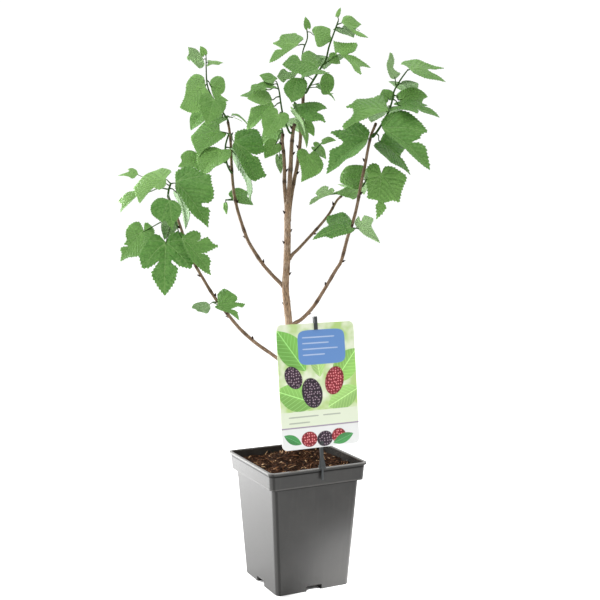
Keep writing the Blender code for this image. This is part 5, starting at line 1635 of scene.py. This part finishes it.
def pot_finish():
    """Satin grey plastic with flow lines and dust, with painted highlights on its lip and on the collar's
    hem, and painted shade under its collar and rim bead and on its corner nearest the viewer.
    """
    pot = Finish("grey_pot_plastic", 0.3, Specular_IOR_Level=0.6)
    place = pot.object_place()
    cloud = pot.noise(place, 22.0, 4.0)
    grain = pot.noise(place, 1700.0)
    flow = pot.noise(pot.stretched(place, 0.06), 210.0)
    specks = pot.fall(pot.cells(place, 190.0), 0.05, 0.13)
    dust = pot.times(specks, pot.ramp(pot.noise(place, 60.0), 0.55, 0.7))
    z = pot.parts(place)[2]
    foot = (POT_HEIGHT - COLLAR_HEIGHT) * MM
    # Painted highlights: the lip of the rim and the hem at the collar's lower edge are made lighter.
    hem = pot.within(z, foot, foot + 0.0003, foot + 0.0014, foot + 0.0022)
    lip = pot.ramp(z, (POT_HEIGHT - 1.6) * MM, (POT_HEIGHT - 0.9) * MM)
    painted_edge_highlight = pot.math("MAXIMUM", pot.times(hem, 0.35), pot.times(lip, 0.8))
    # Painted shade: darker bands on the outside just under the collar and under the rim bead, and a darker
    # corner nearest the viewer, where the gloss is lowered too.
    below = pot.within(z, foot - 0.0032, foot - 0.0012, foot - 0.0002, foot)
    under_bead_shade = pot.within(z, *[(POT_HEIGHT - drop) * MM for drop in (6.2, 5.2, 4.2, 3.6)])
    normal = pot.node("ShaderNodeNewGeometry").outputs["Normal"]
    outward = pot.ramp(pot.aligned(normal, place), 0.0, 0.02)
    hollow_shade = pot.times(pot.math("MAXIMUM", below, under_bead_shade), outward)
    corner = pot.ramp(pot.aligned(normal, CORNER_WAY), 0.945, 0.99)
    painted_shade = pot.math("MAXIMUM", hollow_shade, pot.times(corner, 0.55))
    grey = pot.layered(
        pot.mixed(pot.ramp(cloud, 0.35, 0.65), (0.022, 0.0212, 0.0198), (0.027, 0.026, 0.0242)),
        (pot.ramp(flow, 0.5, 0.8), 0.25, (0.036, 0.0345, 0.032)),
        (dust, 0.35, (0.10, 0.082, 0.064)),
        (painted_edge_highlight, 1.0, (0.115, 0.110, 0.102)),
        (painted_shade, 0.75, (0.006, 0.006, 0.0055)))
    pot.feed("Base Color", grey)
    pot.feed("Specular IOR Level", pot.ramp(painted_shade, 0.0, 1.0, 0.5, 0.1))
    pot.feed("Roughness", pot.plus(pot.ramp(cloud, 0.3, 0.7, 0.14, 0.18), pot.times(grain, 0.06)))
    pot.feed("Normal", pot.bumped(pot.plus(grain, pot.times(flow, 1.2)), 0.00012, 0.35))
    return pot.made


def stake_finish():
    """Darker moulded plastic with a slight sheen."""
    stake = Finish("dark_stake_plastic", 0.38, Specular_IOR_Level=0.5)
    place = stake.object_place()
    cloud = stake.noise(place, 90.0, 3.0)
    stake.feed("Base Color", stake.mixed(cloud, (0.026, 0.030, 0.031), (0.044, 0.050, 0.052)))
    stake.feed("Roughness", stake.ramp(cloud, 0.3, 0.7, 0.32, 0.45))
    stake.feed("Normal", stake.bumped(stake.noise(place, 2200.0), 0.0001, 0.4))
    return stake.made


def mix_finish():
    """Dark damp peat with rusty bark crumbs."""
    mix = Finish("peat_and_bark", 0.95, Specular_IOR_Level=0.06)
    place = mix.object_place()
    crumbs = mix.noise(place, 420.0, 3.0)
    patches = mix.noise(place, 120.0, 3.0)
    brown = mix.layered(
        mix.mixed(mix.ramp(crumbs, 0.35, 0.65), (0.007, 0.0036, 0.0022), (0.032, 0.0145, 0.0075)),
        (mix.ramp(patches, 0.5, 0.7), 0.4, (0.058, 0.025, 0.012)))
    mix.feed("Base Color", brown)
    mix.feed("Normal", mix.bumped(crumbs, 0.0012, 0.9))
    return mix.made


def chip_finish():
    """Bark chips from near black through red brown to a few straw-coloured ones."""
    chip = Finish("bark_chips", 0.9, Specular_IOR_Level=0.08)
    tone = chip.attribute("tone")
    fine = chip.noise(chip.object_place(), 900.0, 3.0)
    brown = chip.layered(
        chip.mixed(chip.ramp(tone, 0.1, 0.7), (0.010, 0.005, 0.003), (0.075, 0.032, 0.015)),
        (chip.ramp(tone, 0.78, 0.90), 1.0, (0.21, 0.100, 0.048)),
        (chip.ramp(tone, 0.955, 0.975), 1.0, (0.55, 0.36, 0.20)),
        (chip.ramp(fine, 0.4, 0.7), 0.45, (0.022, 0.011, 0.007)))
    chip.feed("Base Color", brown)
    chip.feed("Normal", chip.bumped(fine, 0.0004, 0.7))
    return chip.made


# The print, in millimetres on the card. Panel and bars: middle, half width and half height
BLUE_PANEL = (7, 121, 32, 21)
PANEL_BARS = [(3, 133, 22, 0.8), (-1, 126, 18, 0.8), (5, 119, 24, 0.8), (-4, 112, 15, 0.8)]
BAND_BARS = [(-22, 38.5, 20, 0.8), (16, 38.5, 12, 0.8), (-28, 31.5, 14, 0.8)]

# Leaves: middle, length, width, turn and colour
PRINT_LEAVES = [
    (-34, 118, 62, 34, 35, (0.20, 0.50, 0.09)),
    (38, 96, 54, 32, -40, (0.30, 0.60, 0.13)),
    (-30, 62, 58, 34, 70, (0.26, 0.55, 0.12)),
    (34, 58, 50, 28, 115, (0.36, 0.64, 0.18)),
    (0, 104, 40, 20, 8, (0.42, 0.68, 0.22)),
]
STRIP_LEAVES = [
    (-38, 12, 26, 11, 62, (0.05, 0.28, 0.07)),
    (30, 8, 30, 12, -72, (0.06, 0.30, 0.08)),
]

# Berries: middle, width, height, turn, dark and light colour
PRINT_BERRIES = [
    (-9, 66, 28, 38, 14, (0.010, 0.005, 0.012), (0.085, 0.035, 0.070)),
    (22, 79, 26, 36, -18, (0.15, 0.008, 0.014), (0.60, 0.06, 0.08)),
    (-33, 86, 22, 30, 30, (0.016, 0.006, 0.016), (0.12, 0.05, 0.09)),
]
STRIP_BERRIES = [
    (-16, 11, 22, 19, 0, (0.16, 0.006, 0.012), (0.56, 0.05, 0.06)),
    (5, 10, 22, 19, 8, (0.010, 0.005, 0.012), (0.085, 0.035, 0.070)),
    (24, 12, 20, 18, 0, (0.18, 0.008, 0.014), (0.60, 0.06, 0.07)),
]


def card_finish():
    """Glossy card printed with plain leaves and berries, a blank blue panel and pale bands."""
    card = Finish("printed_card", 0.32, Specular_IOR_Level=0.5, Coat_Weight=0.25)
    place = card.attribute("print_place", "Vector")
    x, y, z = card.parts(place)
    blur = card.ramp(card.noise(place, 0.045), 0.35, 0.65)
    ground = card.mixed(blur, (0.42, 0.60, 0.20), (0.74, 0.79, 0.62))
    for leaf in PRINT_LEAVES:
        ground = printed_leaf(card, place, ground, *leaf)
    for berry in PRINT_BERRIES:
        ground = printed_berry(card, place, ground, *berry)
    ground = card.mixed(panel(card, x, y, *BLUE_PANEL), ground, (0.115, 0.250, 0.540))
    for bar in PANEL_BARS:
        ground = card.layered(ground, (panel(card, x, y, *bar), 0.55, (0.62, 0.70, 0.82)))
    band = card.within(y, 25.0, 25.2, 44.8, 45.0)
    ground = card.mixed(band, ground, (0.70, 0.76, 0.60))
    for bar in BAND_BARS:
        ground = card.layered(ground, (panel(card, x, y, *bar), 0.55, (0.16, 0.18, 0.16)))
    line = card.within(y, 25.0, 25.1, 26.6, 26.7)
    ground = card.mixed(line, ground, (0.33, 0.27, 0.36))
    strip = card.fall(y, 24.8, 25.0)
    ground = card.mixed(strip, ground, (0.74, 0.75, 0.74))
    for berry in STRIP_BERRIES:
        ground = printed_berry(card, place, ground, *berry)
    for leaf in STRIP_LEAVES:
        ground = printed_leaf(card, place, ground, *leaf)
    card.feed("Base Color", card.mixed(card.ramp(z, -0.05, 0.05), (0.80, 0.80, 0.78), ground))
    card.feed("Normal", card.bumped(card.noise(place, 0.9), 0.00008, 0.3))
    return card.made


def spot_on(card, place, cx, cy, wide, tall, turn):
    """The print's place as seen from a motif: its middle at zero and its edge at one."""
    fitted = {"Vector": place, "Location": (cx, cy, 0.0), "Rotation": (0.0, 0.0, math.radians(turn)),
              "Scale": (wide / 2, tall / 2, 1e4)}
    return card.node("ShaderNodeMapping", fitted, vector_type="TEXTURE").outputs[0]


def panel(card, x, y, cx, cy, wide, tall):
    """A rounded upright panel, wide and tall from its middle, as a mask."""
    powers = []
    for value, middle, reach in ((x, cx, wide), (y, cy, tall)):
        share = card.math("DIVIDE", card.minus(value, float(middle)), float(reach))
        powers.append(card.math("POWER", card.math("ABSOLUTE", share), 6.0))
    return card.fall(card.plus(*powers), 0.95, 1.05)


def printed_leaf(card, place, ground, cx, cy, length, width, turn, green):
    """A plain pointed leaf with a light midrib and slanting veins, laid over the ground."""
    x, y, _ = card.parts(spot_on(card, place, cx, cy, width, length, turn))
    side = card.math("ABSOLUTE", x)
    room = card.minus(1.0, card.times(y, y))
    mask = card.ramp(card.minus(room, side), 0.0, 0.04)
    slant = card.math("FRACT", card.minus(card.times(y, 5.0), card.times(side, 2.6)))
    vein = card.fall(card.math("ABSOLUTE", card.minus(slant, 0.5)), 0.02, 0.09)
    midrib = card.fall(side, 0.015, 0.05)
    light = tuple(min(1.0, c * 1.5 + 0.12) for c in green)
    shaded = card.mixed(card.ramp(x, -0.6, 0.6), tuple(0.72 * c for c in green), green)
    return card.mixed(mask, ground, card.layered(shaded, (vein, 0.45, light), (midrib, 0.8, light)))


def printed_berry(card, place, ground, cx, cy, wide, tall, turn, dark, light):
    """A berry of many shining beads, laid over the ground."""
    local = spot_on(card, place, cx, cy, wide, tall, turn)
    from_middle = card.node("ShaderNodeVectorMath", {0: local}, operation="LENGTH").outputs["Value"]
    beads = card.node("ShaderNodeTexVoronoi", {"Vector": place, "Scale": 0.30, "Randomness": 0.55},
                      voronoi_dimensions="2D")
    bead = beads.outputs["Distance"]
    colour = card.layered(
        card.mixed(card.ramp(bead, 0.1, 0.62), light, dark),
        (card.fall(bead, 0.10, 0.20), 0.6, (0.9, 0.82, 0.85)),
        (card.ramp(from_middle, 0.6, 1.0), 0.6, dark))
    return card.mixed(card.fall(from_middle, 0.94, 1.0), ground, colour)


# The whole object

def carry(piece, slot, *nodes):
    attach(piece, "root")
    if nodes:
        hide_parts(*nodes)


def build_object():
    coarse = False
    carry(copy_of("pot", "pot_shell", pot_finish(), 0.7, 3), "pot_plastic", "pot")
    carry(copy_of("label_stake", "label_holder", stake_finish(), 0.25, 2), "stake_plastic", "label_stake")
    carry(make_card(card_finish()), "printed_card", "label_card")
    soil = mix_finish()
    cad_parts["potting_mix"].data.materials.clear()
    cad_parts["potting_mix"].data.materials.append(soil)
    top = make_mix_top(soil)
    chips = make_chips(top, chip_finish())
    carry(top, "potting_mix")
    carry(chips, "potting_mix")
    bark = bark_finish()
    carry(add_pores(make_wood(bark), bark), "bark", "woody_stem")
    green = leaf_finish()
    number = 0
    for shoot in SHOOTS:
        carry(make_shoot(shoot, number, green, coarse), "leaf", shoot.name)
        number += len(shoot.leaves)


# Studio

SKY_FRONT = 0.38
SKY_BACK = 1.0
SKY_TOP = 1.5
SKY_SHOWN = 1.05
FLOOR_REACH = 6.0


def view_to_row(x, y, z):
    return plant_turn().to_3x3() @ Vector((x, y, z))


def add_lamp(name, kind, place, aim, power):
    """A lamp that looks at its aim."""
    lamp = bpy.data.lights.new(name, kind)
    lamp.energy = power
    made = placed(name, lamp)
    made.location = place
    made.rotation_euler = (Vector(aim) - Vector(place)).to_track_quat("-Z", "Y").to_euler()
    return lamp


def build_studio():
    mesh = bpy.data.meshes.new("floor")
    corners = [(-FLOOR_REACH, -FLOOR_REACH, 0), (FLOOR_REACH, -FLOOR_REACH, 0),
               (FLOOR_REACH, FLOOR_REACH, 0), (-FLOOR_REACH, FLOOR_REACH, 0)]
    mesh.from_pydata(corners, [], [(0, 1, 2, 3)])
    paper = Finish("pale_floor", 0.85, Specular_IOR_Level=0.1)
    grain = paper.noise(paper.object_place(), 30.0, 3.0)
    paper.feed("Base Color", paper.mixed(grain, (0.93, 0.93, 0.93), (0.96, 0.96, 0.96)))
    mesh.materials.append(paper.made)
    placed("studio_floor", mesh)
    build_sky()
    left = add_lamp("floor_light_left", "AREA", view_to_row(-0.9, 0.5, 0.5),
                    view_to_row(-0.25, 0.19, 0.0), 24)
    left.size = 0.45
    right = add_lamp("floor_light_right", "SPOT", (1.0, -1.0, 1.2), (0.115, -0.09, 0.0), 450)
    right.spot_size = math.radians(7.0)
    right.spot_blend = 0.35
    right.shadow_soft_size = 0.03
    wash = add_lamp("left_wash", "AREA", view_to_row(-1.3, -0.7, 1.5), (0.0, 0.0, 0.45), 6)
    wash.size = 0.9


def build_sky():
    """A white surround for the picture, which lights the tree less from the camera's side."""
    world = bpy.data.worlds.new("studio")
    bpy.context.scene.world = world
    world.use_nodes = True
    sky = Paint(world.node_tree)
    shader = sky.tree.nodes["Background"]
    shader.inputs["Color"].default_value = (1, 1, 1, 1)
    way = sky.node("ShaderNodeTexCoord").outputs["Generated"]
    level = sky.ramp(sky.aligned(way, view_to_row(0.0, 1.0, 0.0)), -0.75, 0.35, SKY_FRONT, SKY_BACK)
    up = sky.ramp(sky.parts(way)[2], 0.05, 0.95)
    lighting = sky.node("ShaderNodeMix", {0: up, 2: level, 3: SKY_TOP}, data_type="FLOAT").outputs[0]
    shown = sky.node("ShaderNodeLightPath").outputs["Is Camera Ray"]
    strength = sky.node("ShaderNodeMix", {0: shown, 2: lighting, 3: SKY_SHOWN}, data_type="FLOAT").outputs[0]
    sky.tree.links.new(strength, shader.inputs["Strength"])


def add_camera():
    camera = bpy.data.cameras.new("camera")
    camera.sensor_width = EYE_FILM
    camera.lens = EYE_LENS
    camera.clip_start = 0.05
    camera.clip_end = 50.0
    made = placed("camera", camera)
    place = eye()
    place.translation *= MM
    made.matrix_world = plant_turn() @ place
    bpy.context.scene.camera = made


bpy.context.scene.view_settings.view_transform = "Standard"
build_object()
build_studio()
add_camera()
